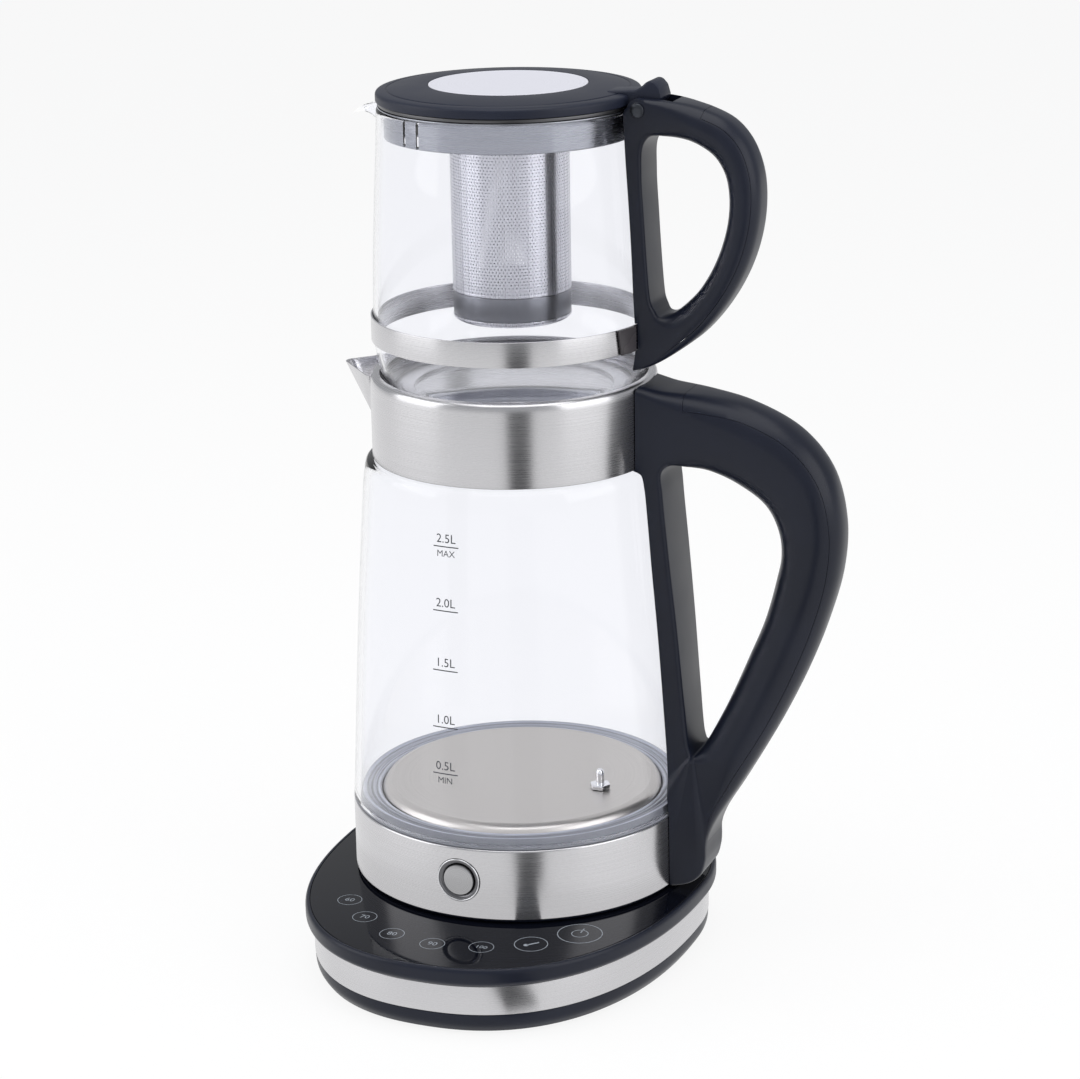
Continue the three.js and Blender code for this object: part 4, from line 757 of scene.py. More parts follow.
class TEAMAKER_OT_marks(bpy.types.Operator):
    """Print the litre marks on the kettle's glass"""

    bl_idname = "teamaker.marks"
    bl_label = "Litre Marks"

    def execute(self, context):
        side = kettle_side()

        def wrapped(points, z):
            height = z + points[:, 1]
            radius = line_at(side, height) + MARK_LIFT
            angle = np.radians(MARK_BEARING) + points[:, 0] / radius
            return np.stack([radius * np.cos(angle), radius * np.sin(angle), height], axis=-1)

        size = sizes().mark_size / MM
        for group, marks, factor, rise in (("litre", LITRE_MARKS, 1.0, 0.0), ("limit", LIMIT_MARKS, 0.74, -1.2)):
            for i, (z, words) in enumerate(marks):
                obj, points = lettering(f"{group}_mark_{i}", words, size * factor)
                piece(put_points(obj, wrapped(points, z + rise * size)), "kettle", "ink_dark")
        grid = np.array([[(x, y, 0.0) for y in (-0.28, 0.28)] for x in np.linspace(-6.8, 6.8, 13)])
        for i, (z, _) in enumerate(LITRE_MARKS):
            flat = wrapped(grid.reshape(-1, 3), z - 0.62 * size).reshape(grid.shape)
            piece(walled(f"litre_line_{i}", flat * (1.0002, 1.0002, 1.0), flat), "kettle", "ink_dark")
        return {"FINISHED"}


RING, COLLAR = 87.5, 72.0  # outer radii of the steel base ring and of the steel collar
SHEET = 0.8  # thickness of their steel
SCREW = 2.1  # radius of the handle's screw holes


class TEAMAKER_OT_kettle_steel(bpy.types.Operator):
    """Make the kettle's base ring, bottom cover, connector cup, collar with the opening for its spout, and seat ring"""

    bl_idname = "teamaker.kettle_steel"
    bl_label = "Kettle Steel"

    def execute(self, context):
        seat = low("kettle_bottom_cover")
        piece(lathe("kettle_bottom_shell", [
            (22.2, seat), (85.4, seat, 0.8), (86.4, seat + 1.2), (86.4, seat + 9), (84.2, seat + 9),
            (84.2, seat + 2.2, 0.8), (24.4, seat + 2.2), (24.4, seat + 17.1), (22.2, seat + 17.1)], 0.3),
            "kettle", "plastic", "kettle_bottom_cover")
        cup, tip = span("kettle_connector")
        roof = tip - 5
        pin = roof - 8.7
        piece(lathe("connector_cup", [
            (0, pin, 0), (2, pin, 0.8), (2, roof), (6.7, roof), (6.7, pin, 0.4), (8.2, pin, 0.4), (8.2, roof),
            (16.9, roof), (16.9, cup, 0.6), (21.9, cup, 0.6), (21.9, tip), (0, tip, 0)], 0.3, 96),
            "kettle_plug", "plastic", "kettle_connector")

        z0, z1 = span("kettle_base_ring")
        button = middle("kettle_button_bezel")[2]
        ring = lathe("kettle_base_band", [
            (RING - SHEET, z0, 0.3), (RING, z0, 0.4), (RING, z1, 1.1), (75.5, z1, 0.3), (75.5, z1 - SHEET, 0.2),
            (RING - SHEET, z1 - SHEET, 0.4)], 0.3)
        holes = rod(BEZEL + 1, 60, 100, (0, 0, button), "y", 96), rod(SCREW, 60, 100, (0, 0, z0 + 12), "x", 32)
        piece(cut(ring, *holes), "kettle", "steel", "kettle_base_ring")

        c0, c1 = span("kettle_collar")
        collar = lathe("kettle_collar_steel", [
            (COLLAR - SHEET, c0, 0.2), (COLLAR, c0, 0.3), (COLLAR, c1 - 3.6, 1.6), (71.4, c1 - 1.1, 0.9),
            (69.9, c1, 0.9), (67.2, c1, 0.5), (67.2, c1 - 2.2, 0.15), (67.9, c1 - 2.2, 0.15), (68.0, c1 - 0.9, 0.3),
            (69.3, c1 - 0.9, 1.2), (70.5, c1 - 2.4, 1.2), (COLLAR - SHEET, c1 - 5.4, 2)])
        mouth = turned(slab("spout_mouth", [
            (-7.5, c1 - 23.5), (7.5, c1 - 23.5), (15, c1 - 14.5), (-15, c1 - 14.5)], 20), 90)
        mouth.data.transform(Matrix.Translation((-COLLAR * MM, 0, 0)))
        collar = cut(collar, mouth, rod(SCREW, 60, 80, (0, 0, c1 - 24), "x", 32))
        piece(collar, "kettle", "steel", "kettle_collar")

        s0, s1 = span("kettle_seat_ring")
        piece(lathe("teapot_seat", [
            (50, s0, 0.2), (70.9, s0, 0.2), (70.9, s0 + 0.8, 0.2), (64, s0 + 0.8, 1.2), (61, s1, 1.0), (50, s1, 0.4)],
            0.3), "kettle", "steel", "kettle_seat_ring")
        return {"FINISHED"}


# At the spout's top: half its width, how far it stands out from the collar, and half the width of its nose
SPOUT_HALF_WIDTH, SPOUT_REACH, SPOUT_NOSE = 27, 20, 4.4


def spout_line(share, inset):
    """The spout's plan at a share of its height, from one side of the collar to the other: two straight sides
    meet in a rounded nose."""
    size = 0.12 + 0.88 * share
    side, tip, nose = SPOUT_HALF_WIDTH * size - inset, COLLAR + SPOUT_REACH * size - inset, SPOUT_NOSE * size
    start = -math.sqrt((COLLAR + GAP) ** 2 - side ** 2)
    root, end, point = (min(start, -69.0), -side), np.array([0.55 * nose - tip, -nose]), np.array([-tip, 0])
    leg = root + (end - root) * np.linspace(0, 1, 18)[:, None]
    t = np.linspace(0, 1, 7)[1:, None]
    bend = (1 - t) ** 2 * end + 2 * t * (1 - t) * np.array([-tip, -0.6 * nose]) + t * t * point
    half_line = np.vstack([(start, -side), leg, bend])
    return np.vstack([half_line, half_line[-2::-1] * (1, -1)])


class TEAMAKER_OT_spout(bpy.types.Operator):
    """Make the kettle's V-shaped spout of sheet steel"""

    bl_idname = "teamaker.spout"
    bl_label = "Spout"

    def execute(self, context):
        z0, z1 = span("kettle_spout")

        def sheet(inset, lift):
            rows = []
            for share in np.linspace(0, 1, 14):
                line = spout_line(share, inset)
                rows.append(np.column_stack([line, np.full(len(line), z0 + lift + (z1 - z0 - lift) * share)]))
            return np.stack(rows, axis=1)

        spout = walled("spout_sheet", sheet(0.0, 0.0), sheet(0.9, 1.6), 30.0)
        piece(bevelled(spout, 0.25, 2, 50.0), "kettle", "steel", "kettle_spout")
        return {"FINISHED"}


PROBE = 2.2  # radius of the temperature probe's pin


class TEAMAKER_OT_heater(bpy.types.Operator):
    """Make the heating plate, its silicone seal and the temperature probe"""

    bl_idname = "teamaker.heater"
    bl_label = "Heating Plate"

    def execute(self, context):
        top, flange = high("kettle_heating_plate"), low("kettle_heating_plate") + 1
        x, y, _ = middle("kettle_temperature_probe")
        plate = lathe("heating_plate_disc", [
            (0, top, 0), (66.2, top, 0.2), (67.5, top + 0.15, 0.6), (70.6, top - 0.9, 1.6), (72.4, top - 3.4, 1.4),
            (72.6, flange, 0.5), (79.5, flange, 0.3), (79.5, flange - 1, 0.3), (71.6, flange - 1, 0.5),
            (71.3, top - 3.6, 1.2), (69.9, top - 1.7, 1.2), (67.3, top - 1, 0.8), (0, top - 1, 0)])
        piece(cut(plate, rod(PROBE + GAP, 0, 200, (x, y, 0))), "kettle", "plate", "kettle_heating_plate")
        s0, crest = span("kettle_plate_seal")
        ridges = [(83.0 - 1.45 * i, crest - 0.15 * i - 1.1 * (i % 2), 0.5) for i in range(8)]
        piece(lathe("plate_seal_ring", [
            (73.7, s0, 0.1), (86.9, s0, 0.3), (86.9, s0 + 1.2, 0.3), (83.3, s0 + 1.2, 0.2), *ridges,
            (72.9, flange + 0.3, 0.2), (79.8, flange + 0.3, 0.1), (79.8, s0 + 0.4, 0.1), (73.7, s0 + 0.4, 0.1)], 0.3),
            "kettle", "seal", "kettle_plate_seal")
        tip = high("kettle_temperature_probe")
        piece(lathe("probe_pin", [
            (0, top - 9, 0), (PROBE, top - 9), (PROBE, tip - 1.6, 1.0), (PROBE - 1, tip, 0.8), (0, tip, 0)], 0.3, 40,
            centre=(x, y, 0)), "kettle", "polished", "kettle_temperature_probe")
        nut = lathe("probe_nut", [(2.3, top + 0.3), (5.5, top + 0.3), (5.5, top + 2.5), (2.3, top + 2.5)], 0, 6,
                    centre=(x, y, 0), smooth_angle=20.0)
        piece(bevelled(nut, 0.35), "kettle", "polished", "kettle_temperature_probe")
        return {"FINISHED"}


BUTTON, BEZEL = 8.0, 10.5  # radii of the button's cap and of its bezel


class TEAMAKER_OT_button(bpy.types.Operator):
    """Make the push button and its bezel"""

    bl_idname = "teamaker.button"
    bl_label = "Push Button"

    def execute(self, context):
        z = middle("kettle_button_bezel")[2]
        back, face = back_and_front("kettle_button_bezel")
        # The bezel ring takes the metal that is painted dark as a painted reflection.
        piece(lathe("button_bezel_ring", [
            (BUTTON + GAP, back), (BEZEL, back), (BEZEL, face - 0.3, 0.2), (9.3, face - 0.6, 0.4),
            (BUTTON + GAP, face - 1.4, 0.3)],
            0.2, 96, centre=(0, 0, z), axis="y"), "kettle", "bezel", "kettle_button_bezel")
        piece(lathe("button_bezel_edge", [
            (10.55, back), (11.2, back), (11.2, face - 0.2, 0.3), (10.9, face, 0.2), (10.55, face - 0.15, 0.15)],
            0.2, 96, centre=(0, 0, z), axis="y"), "kettle", "polished", "kettle_button_bezel")
        rear, front = back_and_front("kettle_button_cap")
        dome = [(BUTTON * math.cos(t), front - 0.9 * (1 - math.sin(t)), 0) for t in np.linspace(0.25, math.pi / 2, 12)]
        piece(lathe("button_cap_dome", [(0, rear, 0), (BUTTON, rear), (BUTTON, front - 1.2, 0.5), *dome], 0.3, 96,
                    centre=(0, 0, z), axis="y"), "button", "cap_steel", "kettle_button_cap")
        return {"FINISHED"}


# Handles: a rounded bar carried round its finger hole. Each row holds the bar's inner edge and its outer edge as
# shares of the handle's reach and height, then its half width and the rounding of its inner and outer edges as
# shares of the half width.

GRIP_ROWS = (
    (0.099, 0.29, -0.207, 0.251, 0.88, 0.12, 0.06), (0.07, 0.39, -0.207, 0.39, 0.92, 0.12, 0.06),
    (0.033, 0.532, -0.23, 0.532, 0.98, 0.12, 0.06), (-0.008, 0.667, -0.254, 0.667, 1.05, 0.12, 0.06),
    (-0.045, 0.794, -0.301, 0.798, 1.06, 0.12, 0.06), (-0.051, 0.838, -0.348, 0.928, 1.06, 0.12, 0.12),
    (-0.006, 0.852, -0.325, 1, 1.06, 0.18, 0.18), (0.089, 0.85, -0.045, 0.993, 1.05, 0.36, 0.36),
    (0.205, 0.842, 0.19, 0.988, 1.03, 0.61, 0.61), (0.372, 0.818, 0.442, 0.973, 1, 0.76, 0.76),
    (0.545, 0.78, 0.732, 0.927, 1, 0.76, 0.76), (0.619, 0.734, 0.919, 0.856, 1, 0.76, 0.76),
    (0.635, 0.684, 1, 0.759, 1, 0.76, 0.76), (0.606, 0.636, 0.988, 0.662, 1, 0.76, 0.76),
    (0.54, 0.557, 0.901, 0.555, 0.99, 0.76, 0.76), (0.447, 0.482, 0.792, 0.46, 0.97, 0.76, 0.76),
    (0.319, 0.384, 0.661, 0.368, 0.94, 0.73, 0.73), (0.213, 0.313, 0.534, 0.291, 0.91, 0.64, 0.64),
    (0.169, 0.286, 0.394, 0.212, 0.88, 0.48, 0.48), (0.143, 0.272, 0.255, 0.136, 0.85, 0.24, 0.3),
    (0.132, 0.269, 0.211, 0.097, 0.85, 0.18, 0.18), (0.128, 0.268, 0.202, 0.051, 0.88, 0.15, 0.15),
    (0.124, 0.267, 0.166, 0.02, 0.91, 0.15, 0.12), (0.122, 0.267, 0.065, 0.001, 0.94, 0.12, 0.06),
    (0.117, 0.268, -0.325, 0.001, 1.01, 0.12, 0.06), (0.111, 0.274, -0.277, 0.136, 0.89, 0.12, 0.06),
)
LOOP_ROWS = (
    (0.091, 0.289, -0.144, 0.274, 1.01, 0.11, 0.08), (0.07, 0.405, -0.178, 0.402, 1.01, 0.11, 0.08),
    (0.047, 0.574, -0.211, 0.574, 1.01, 0.11, 0.08), (0.03, 0.723, -0.228, 0.738, 1.02, 0.11, 0.08),
    (0.044, 0.835, -0.245, 0.873, 1.02, 0.13, 0.08), (0.101, 0.867, -0.017, 0.994, 1.02, 0.2, 0.08),
    (0.225, 0.868, 0.124, 1, 1.01, 0.32, 0.2), (0.359, 0.859, 0.351, 0.99, 1, 0.44, 0.4),
    (0.495, 0.837, 0.555, 0.967, 1, 0.56, 0.56), (0.621, 0.797, 0.748, 0.927, 1, 0.6, 0.6),
    (0.703, 0.736, 0.891, 0.858, 1, 0.6, 0.6), (0.735, 0.663, 0.982, 0.751, 1, 0.6, 0.6),
    (0.728, 0.574, 1, 0.631, 1, 0.6, 0.6), (0.678, 0.48, 0.96, 0.505, 1, 0.6, 0.6),
    (0.594, 0.39, 0.867, 0.383, 0.99, 0.6, 0.6), (0.483, 0.311, 0.711, 0.26, 0.98, 0.56, 0.56),
    (0.367, 0.258, 0.512, 0.153, 0.96, 0.48, 0.48), (0.265, 0.222, 0.314, 0.083, 0.94, 0.4, 0.32),
    (0.201, 0.21, 0.124, 0.031, 0.93, 0.24, 0.16), (0.156, 0.213, 0.003, 0.01, 0.93, 0.16, 0.12),
    (0.129, 0.233, -0.211, 0.001, 0.94, 0.13, 0.08), (0.104, 0.256, -0.178, 0.14, 0.98, 0.11, 0.08),
)


class LoopHandle:
    """A handle's bar: sections at shares of the way round, its solid, and the zone of its outer cover."""

    def __init__(self, rows, root, reach, bottom, top, half_width, roundness):
        rows = np.array(rows)
        scale = np.array([reach - root, top - bottom])
        self.inner = rows[:, 0:2] * scale + (root, bottom)
        self.outer = rows[:, 2:4] * scale + (root, bottom)
        self.sizes = rows[:, 4:7] * (half_width, roundness * half_width, roundness * half_width)
        self.half_width = half_width

    def at(self, share):
        """Inner edge, outer edge, direction between them, depth, half width and rounding of the two edges."""
        start, end, size = (through(rows, np.mod(share, 1.0)) for rows in (self.inner, self.outer, self.sizes))
        depth = np.linalg.norm(end - start, axis=1)[:, None]
        near, far = (np.minimum(size[:, k:k + 1], 0.48 * depth) for k in (1, 2))
        return start, end, (end - start) / depth, depth, size[:, :1], near, far

    def bar(self, name):
        """Each section runs from the inner edge to the outer edge and back, with quarter-round corners: in from
        an edge by n (1 - sin t), in from a side by n (1 - cos t)."""
        start, _, across, depth, half_width, near, far = self.at(np.arange(300) / 300)
        t = np.linspace(0, np.pi / 2, 7)
        reach = np.concatenate([near * (1 - np.sin(t[::-1])), depth - far * (1 - np.sin(t))], axis=1)
        side = half_width - np.concatenate([near * (1 - np.cos(t[::-1])), far * (1 - np.cos(t))], axis=1)
        along = np.concatenate([reach, reach[:, ::-1]], axis=1)
        y = np.concatenate([side, -side[:, ::-1]], axis=1)
        x, z = (start[:, k:k + 1] + across[:, k:k + 1] * along for k in (0, 1))
        return surface(name, np.stack([x, y, z], axis=-1))

    def zone(self, seam, clearance):
        """The zone of the cover: from the seam, a depth inside the outer edge, to far outside it."""
        share = np.linspace(0, 1, 91)
        _, end, across, *_ = self.at(seam["start"] + (seam["end"] - seam["start"]) * share)
        ahead = np.gradient(end, axis=0)
        ahead /= np.linalg.norm(ahead, axis=1)[:, None]
        end[0] += ahead[0] * clearance
        end[-1] -= ahead[-1] * clearance
        depth = ((seam["deep"] + (seam["shallow"] - seam["deep"]) * np.minimum(1, 2 * share))
                 * np.minimum(1, (1 - share) / seam["run_out"]) - clearance)
        line = np.vstack([end - across * depth[:, None], (end + across * seam["beyond"])[::-1]])
        return slab("zone", line, self.half_width + 4)

    def make(self, name, seam, body, handle, cutters):
        """The handle, cut clear of what it meets, and its cover, with the seam between them."""
        piece(cut(handle, *cutters), body, "plastic", name)
        cover = combined(self.bar(name + "_shell"), self.zone(seam, SEAM_GAP), "INTERSECT")
        piece(cover, body, "plastic", name + "_cover")


SEAM_GAP = 0.1  # half the gap between a handle and its cover, in mm
GRIP_SEAM = {"start": 0.288, "end": 0.775, "deep": 7.5, "shallow": 4.5, "run_out": 0.08, "beyond": 12}
LOOP_SEAM = {"start": 0.36, "end": 0.83, "deep": 3.8, "shallow": 3.6, "run_out": 0.08, "beyond": 9}


class TEAMAKER_OT_kettle_handle(bpy.types.Operator):
    """Make the kettle's handle and its outer cover"""

    bl_idname = "teamaker.kettle_handle"
    bl_label = "Kettle Handle"

    def execute(self, context):
        seat, rim = low("kettle_bottom_cover"), high("kettle_collar")
        grip = LoopHandle(GRIP_ROWS, RING, 172.2, seat + 2.4, rim - 0.9, 16.5, 1.15)
        ring_top = high("kettle_base_ring")
        side = sharp(kettle_side()[:-8], GAP)  # up to where the collar hides it
        pot = [(0, seat - 9, 0), (RING + GAP, seat - 9, 0), (RING + GAP, ring_top + GAP, 0), *side,
               (COLLAR + GAP, low("kettle_collar") - GAP, 0), (COLLAR + GAP, rim + 9, 0), (0, rim + 9, 0)]
        grip.make("kettle_handle", GRIP_SEAM, "kettle", grip.bar("kettle_handle_bar"),
                  [lathe("pot", pot, 0, 256), grip.zone(GRIP_SEAM, -SEAM_GAP)])
        return {"FINISHED"}


# Teapot

POT_SHARES = ((0.8, 0), (0.875, 0.011), (0.925, 0.032), (0.953, 0.065), (0.978, 0.115), (0.996, 0.175), (1, 0.23),
              (0.995, 0.33), (0.983, 0.5), (0.964, 0.69), (0.944, 0.86))
POT_HEIGHT, BELLY, MOUTH, POT_WALL = 141.4, 69.5, 64.7, 2.4
BEAK_ROOT, BEAK_HALF_WIDTH = 59.5, 15.0  # where its straight sides start: from the axis, and off the middle
BEAK_REACH, BEAK_NOSE = 19.5, 4.6  # how far its tip stands out from the mouth, and its half width there
BEAK_TALL, BEAK_DROOP = 17.0, 8.0  # how far down the wall it starts, and how far its tip hangs
BEAK_BEARING = 0.6  # radians off -X within which the wall may leave the round


def pot_side():
    """Outer line of the teapot's glass as (r, z) in mm, from its foot to its mouth."""
    z = low("teapot_glass")
    points = [(BELLY * out, z + POT_HEIGHT * up) for out, up in POT_SHARES]
    return open_curve([*points, (MOUTH, z + POT_HEIGHT)], 6)


def beak_reach(bearing, size, inset):
    """Distance of the beak's plan from the axis at a bearing off -X: straight sides from its root out to its
    nose, and a rounded tip."""
    half_width, nose = BEAK_HALF_WIDTH * size - inset, BEAK_NOSE * size
    tip = MOUTH + BEAK_REACH * size ** 2 - inset
    slope = np.tan(np.abs(bearing))
    run, fall = tip - nose - BEAK_ROOT, nose - half_width
    t = (slope * BEAK_ROOT - half_width) / (fall - slope * run)
    line = np.where(np.abs(bearing) < BEAK_BEARING, np.hypot(BEAK_ROOT + t * run, half_width + t * fall), 0.0)
    return 0.5 * (line + tip - np.sqrt((line - tip) ** 2 + 5.0))


def pot_ring(r, z, bearing, inset):
    """Points round the pot at a radius and a height. Near the mouth the wall is the smooth maximum of the round
    and of the beak, and what the beak adds droops in proportion."""
    up = 1 - (low("teapot_glass") + POT_HEIGHT - z) / BEAK_TALL
    out, drop = np.full_like(bearing, r), 0 * bearing
    if up > 0:
        beak = beak_reach(bearing, 0.2 + 0.8 * up ** 0.85, inset)
        smooth_maximum = 0.5 * (beak + r + np.sqrt((beak - r) ** 2 + 1.2 * up))
        out = np.where(np.abs(bearing) < BEAK_BEARING, smooth_maximum, r)
        drop = BEAK_DROOP * (np.clip(out - r, 0, None) / BEAK_REACH) ** 2 * up
        drop = drop * np.clip((BEAK_BEARING - np.abs(bearing)) / 0.2, 0, 1)
    return np.stack([-out * np.cos(bearing), -out * np.sin(bearing), z - drop], axis=-1)


class TEAMAKER_OT_teapot_glass(bpy.types.Operator):
    """Make the teapot's glass with its pulled beak"""

    bl_idname = "teamaker.teapot_glass"
    bl_label = "Teapot Glass"

    def execute(self, context):
        t = np.linspace(-np.pi, np.pi, EGG_STEPS, endpoint=False)
        bearing = t - 0.55 * np.sin(t)  # closer together at the beak
        side = pot_side()
        z0 = low("teapot_glass")
        mouth = z0 + POT_HEIGHT
        neck = mouth - np.linspace(BEAK_TALL, 0.9, 17)
        outer = np.vstack([side[side[:, 1] < neck[0] - 0.5], np.column_stack([line_at(side, neck), neck])])
        inner = outer[outer[:, 1] > z0 + 6.5] - (POT_WALL, 0)
        rounding = [(MOUTH - POT_WALL * s, mouth - 0.9 * (2 * s - 1) ** 2) for s in (0.15, 0.35, 0.65, 0.85)]
        r, z = inner[0]
        floor = z0 + 3.4
        lower = open_curve([(r, z), (r - 2.5, z0 + 4.6), (r - 7, z0 + 3.6), (40, floor)], 5)[1:]
        foot = [(0, z0 + 0.6), (36, z0 + 0.6), (48, z0 + 0.2)]
        line = np.vstack([foot, outer, rounding, inner[::-1], lower, [(0, floor)]])
        inner_from = len(foot) + len(outer) + len(rounding) // 2
        rings = [pot_ring(r, z, bearing, 0.85 * POT_WALL if i >= inner_from else 0.0) for i, (r, z) in enumerate(line)]
        pot = surface("teapot_glass_body", np.stack(rings, axis=1), close_v=False, smooth_angle=60.0)
        piece(pot, "teapot", "teapot_glass", "teapot_glass")
        return {"FINISHED"}


BAND = 70.6  # outer radius of the teapot's steel band


class TEAMAKER_OT_teapot_band(bpy.types.Operator):
    """Make the steel band round the teapot and its clamp"""

    bl_idname = "teamaker.teapot_band"
    bl_label = "Teapot Band"

    def execute(self, context):
        z0, z1 = span("teapot_band")
        strip = [(BAND - SHEET, z0), (BAND, z0), (BAND, z1), (BAND - SHEET, z1)]
        piece(lathe("teapot_band_strip", strip, 0.25), "teapot", "steel", "teapot_band")
        level = np.linspace(0, 1, 5)
        start, end = -23.0 + 1.6 * (1 - level), -12.0
        angle = np.radians(start + (end - start) * np.linspace(0, 1, 16)[:, None])
        height = np.broadcast_to(z0 + (z1 - z0) * level, angle.shape)
        outer, inner = (np.stack([r * np.cos(angle), r * np.sin(angle), height], -1) for r in (BAND + 1.4, BAND + GAP))
        piece(bevelled(walled("band_clamp_lug", outer, inner), 0.25), "teapot", "clamp", "teapot_band_clamp")
        return {"FINISHED"}


PIN, PIN_HOLE = 2.0, 2.3  # radii of the lid's hinge pin and of its holes


def hinge_place():
    x, _, z = middle("teapot_hinge_pin")
    return x, 0.0, z


class TEAMAKER_OT_teapot_handle(bpy.types.Operator):
    """Make the teapot's handle with its ears, its outer cover and the hinge pin"""

    bl_idname = "teamaker.teapot_handle"
    bl_label = "Teapot Handle"

    def execute(self, context):
        z0 = low("teapot_glass")
        mouth = z0 + POT_HEIGHT
        hinge = hinge_place()
        loop = LoopHandle(LOOP_ROWS, BAND, 130.2, z0 + 14.7, mouth + 7, 12.5, 1.4)
        side = sharp(pot_side(), GAP)
        pot = [(0, z0 - 9, 0), (side[0][0], z0 - 9, 0), *side, (MOUTH + 0.6, mouth + 0.5, 0),
               (MOUTH + 0.6, mouth + 60, 0), (0, mouth + 60, 0)]
        band = span("teapot_band")
        floor, back = hinge[2] - 11.4, hinge[0] + 16.2
        slot = [(30, floor), (back, floor), (back, mouth + 90), (30, mouth + 90)]
        eared = combined(loop.bar("teapot_handle_bar"), rod(5.4, -12.5, 12.5, hinge, "y", 64), "UNION")
        loop.make("teapot_handle", LOOP_SEAM, "teapot", eared, [
            lathe("pot", pot, 0, 256), rod(BAND + GAP, band[0] - GAP, band[1] + GAP, steps=256),
            slab("slot", slot, 8), loop.zone(LOOP_SEAM, -SEAM_GAP), rod(PIN_HOLE, -30, 30, hinge, "y")])
        half_pin = box_mm("teapot_hinge_pin")[1][1]
        end = [(3.4, half_pin - 1.2), (3.4, half_pin - 0.5, 0.4), (1.8, half_pin, 0.6), (0, half_pin, 0)]
        line = [*((r, -h, *k) for r, h, *k in reversed(end)), (PIN, 1.2 - half_pin), (PIN, half_pin - 1.2), *end]
        piece(lathe("hinge_pin_rod", line, 0.15, 48, centre=hinge, axis="y"), "teapot", "blackened",
              "teapot_hinge_pin")
        return {"FINISHED"}


# Lid and infuser


LID, LID_INSIDE, INSERT = 65.0, 62.8, 39.0  # radii of the lid, of its inside and of the steel insert


class TEAMAKER_OT_lid(bpy.types.Operator):
    """Make the lid with its thumb lever, steel insert and under pan"""

    bl_idname = "teamaker.lid"
    bl_label = "Lid"

    def execute(self, context):
        base, crown = low("lid_under_pan") + 2.0, high("lid_insert")
        rim = crown - 2.4
        hinge = hinge_place()
        x, _, z = hinge
        insert = low("lid_insert") - GAP
        shell = lathe("lid_shell", [
            (0, insert - 2.2, 0), (INSERT + GAP, insert - 2.2), (55, rim - 1.2, 2), (LID_INSIDE, rim - 2.2, 1.2),
            (LID_INSIDE, base, 0.3), (LID, base, 0.5), (LID, rim - 1.3, 0.8), (64.3, rim - 0.2, 0.7),
            (62.6, rim + 0.25, 0.8), (60.1, rim + 0.5, 0.3), (59.7, rim + 0.15, 0.15), (59.2, rim + 0.15, 0.15),
            (58.8, rim + 0.7, 0.3), (49, rim + 1.8, 3), (INSERT + GAP, crown, 0.4), (INSERT + GAP, insert, 0.1),
            (0, insert, 0)], 0.4)
        lever = bevelled(slab("lid_lever", [
            (53, rim - 2.2), (LID_INSIDE, base), (LID, base), (x, z - 2), (x + 6.5, z - 0.5), (x + 10.5, z + 5.5),
            (x + 9.0, z + 10.4), (x + 6.6, z + 13.0), (x + 4.5, z + 13.6), (x + 2.2, z + 12.6), (x + 0.2, rim + 4.4),
            (x - 3.2, rim + 2.4), (53, rim + 1.5)], 7.2), 1.0, 3, 12.0)
        lid = combined(combined(shell, lever, "UNION"), rod(4.6, -7.2, 7.2, hinge, "y", 64), "UNION")
        # The lid takes the plastic that is painted lighter as a painted sheen.
        piece(cut(lid, rod(PIN_HOLE, -30, 30, hinge, "y")), "lid", "lid_plastic", "lid_body")
        under = insert + GAP
        piece(lathe("lid_insert_disc", [
            (0, under, 0), (INSERT, under), (INSERT, crown - 0.1, 0.3), (37.6, crown, 0.3),
            (36.8, crown - 0.18, 0.3), (0, crown - 0.18, 0)], 0.2), "lid", "turned", "lid_insert")
        p0, p1 = span("lid_under_pan")
        piece(lathe("under_pan_disc", [
            (0, p0 + 0.6, 0), (54, p0 + 0.6, 2), (57, p0, 1), (63.8, p0), (63.8, p1), (0, p1, 0)], 0.35), "lid", "pan",
            "lid_under_pan")
        return {"FINISHED"}


def perforated(name, radius, sheet, bottom, top, pitch, share):
    """A tube wall with staggered square holes. The wall is a grid of cells that leans by half a cell for each
    row, so that the holes of two rows stand between each other. Each cell is a frame of four quads outside and
    inside, with four quads through the wall."""
    around = max(12, round(2 * math.pi * radius / pitch))
    rows = max(4, round((top - bottom) / (pitch * 0.87)))
    step, rise = 2 * np.pi / around, (top - bottom) / rows
    i, j = np.meshgrid(np.arange(around), np.arange(rows + 1), indexing="ij")
    angle, height = (i + 0.5 * j) * step, bottom + rise * j
    middle_angle, middle_height = angle[:, :-1] + 0.75 * step, height[:, :-1] + rise / 2

    def rings(a, z, r):
        return np.stack([r * np.cos(a), r * np.sin(a), z], axis=-1).reshape(-1, 3)

    layers = [np.concatenate([rings(angle, height, r), *(
        rings(middle_angle + sx * share * step / 2, middle_height + sz * share * rise / 2, r) for sx, sz in SQUARE)])
        for r in (radius, radius - sheet)]
    size, cells, first = len(layers[0]), around * rows, around * (rows + 1)
    node = np.arange(first).reshape(around, rows + 1)
    beside = np.roll(node, -1, axis=0)
    cell = [c.reshape(-1) for c in (node[:, :-1], beside[:, :-1], beside[:, 1:], node[:, 1:])]
    hole = [first + k * cells + np.arange(cells) for k in range(4)]
    faces = []
    for k in range(4):
        n = (k + 1) % 4
        face = np.stack([cell[k], cell[n], hole[n], hole[k]], axis=-1)
        faces += [face, face[:, ::-1] + size, np.stack([hole[k], hole[n], hole[n] + size, hole[k] + size], axis=-1)]
    for level in (0, rows):
        a, b = node[:, level], beside[:, level]
        faces.append(np.stack([a, b, b + size, a + size], axis=-1)[:, ::1 if level else -1])
    return mesh_object(name, np.concatenate(layers), np.concatenate(faces), 50.0)


SLIT_BEARINGS = (-122.0, -113.0, 5.0, 14.0)
WINDOW_BEARINGS = (-131.0, 22.0)
TUBE, TUBE_INSIDE, TUBE_LIP = 29.4, 28.7, 3.2  # radii of the infuser's tube, and how tall its lip is


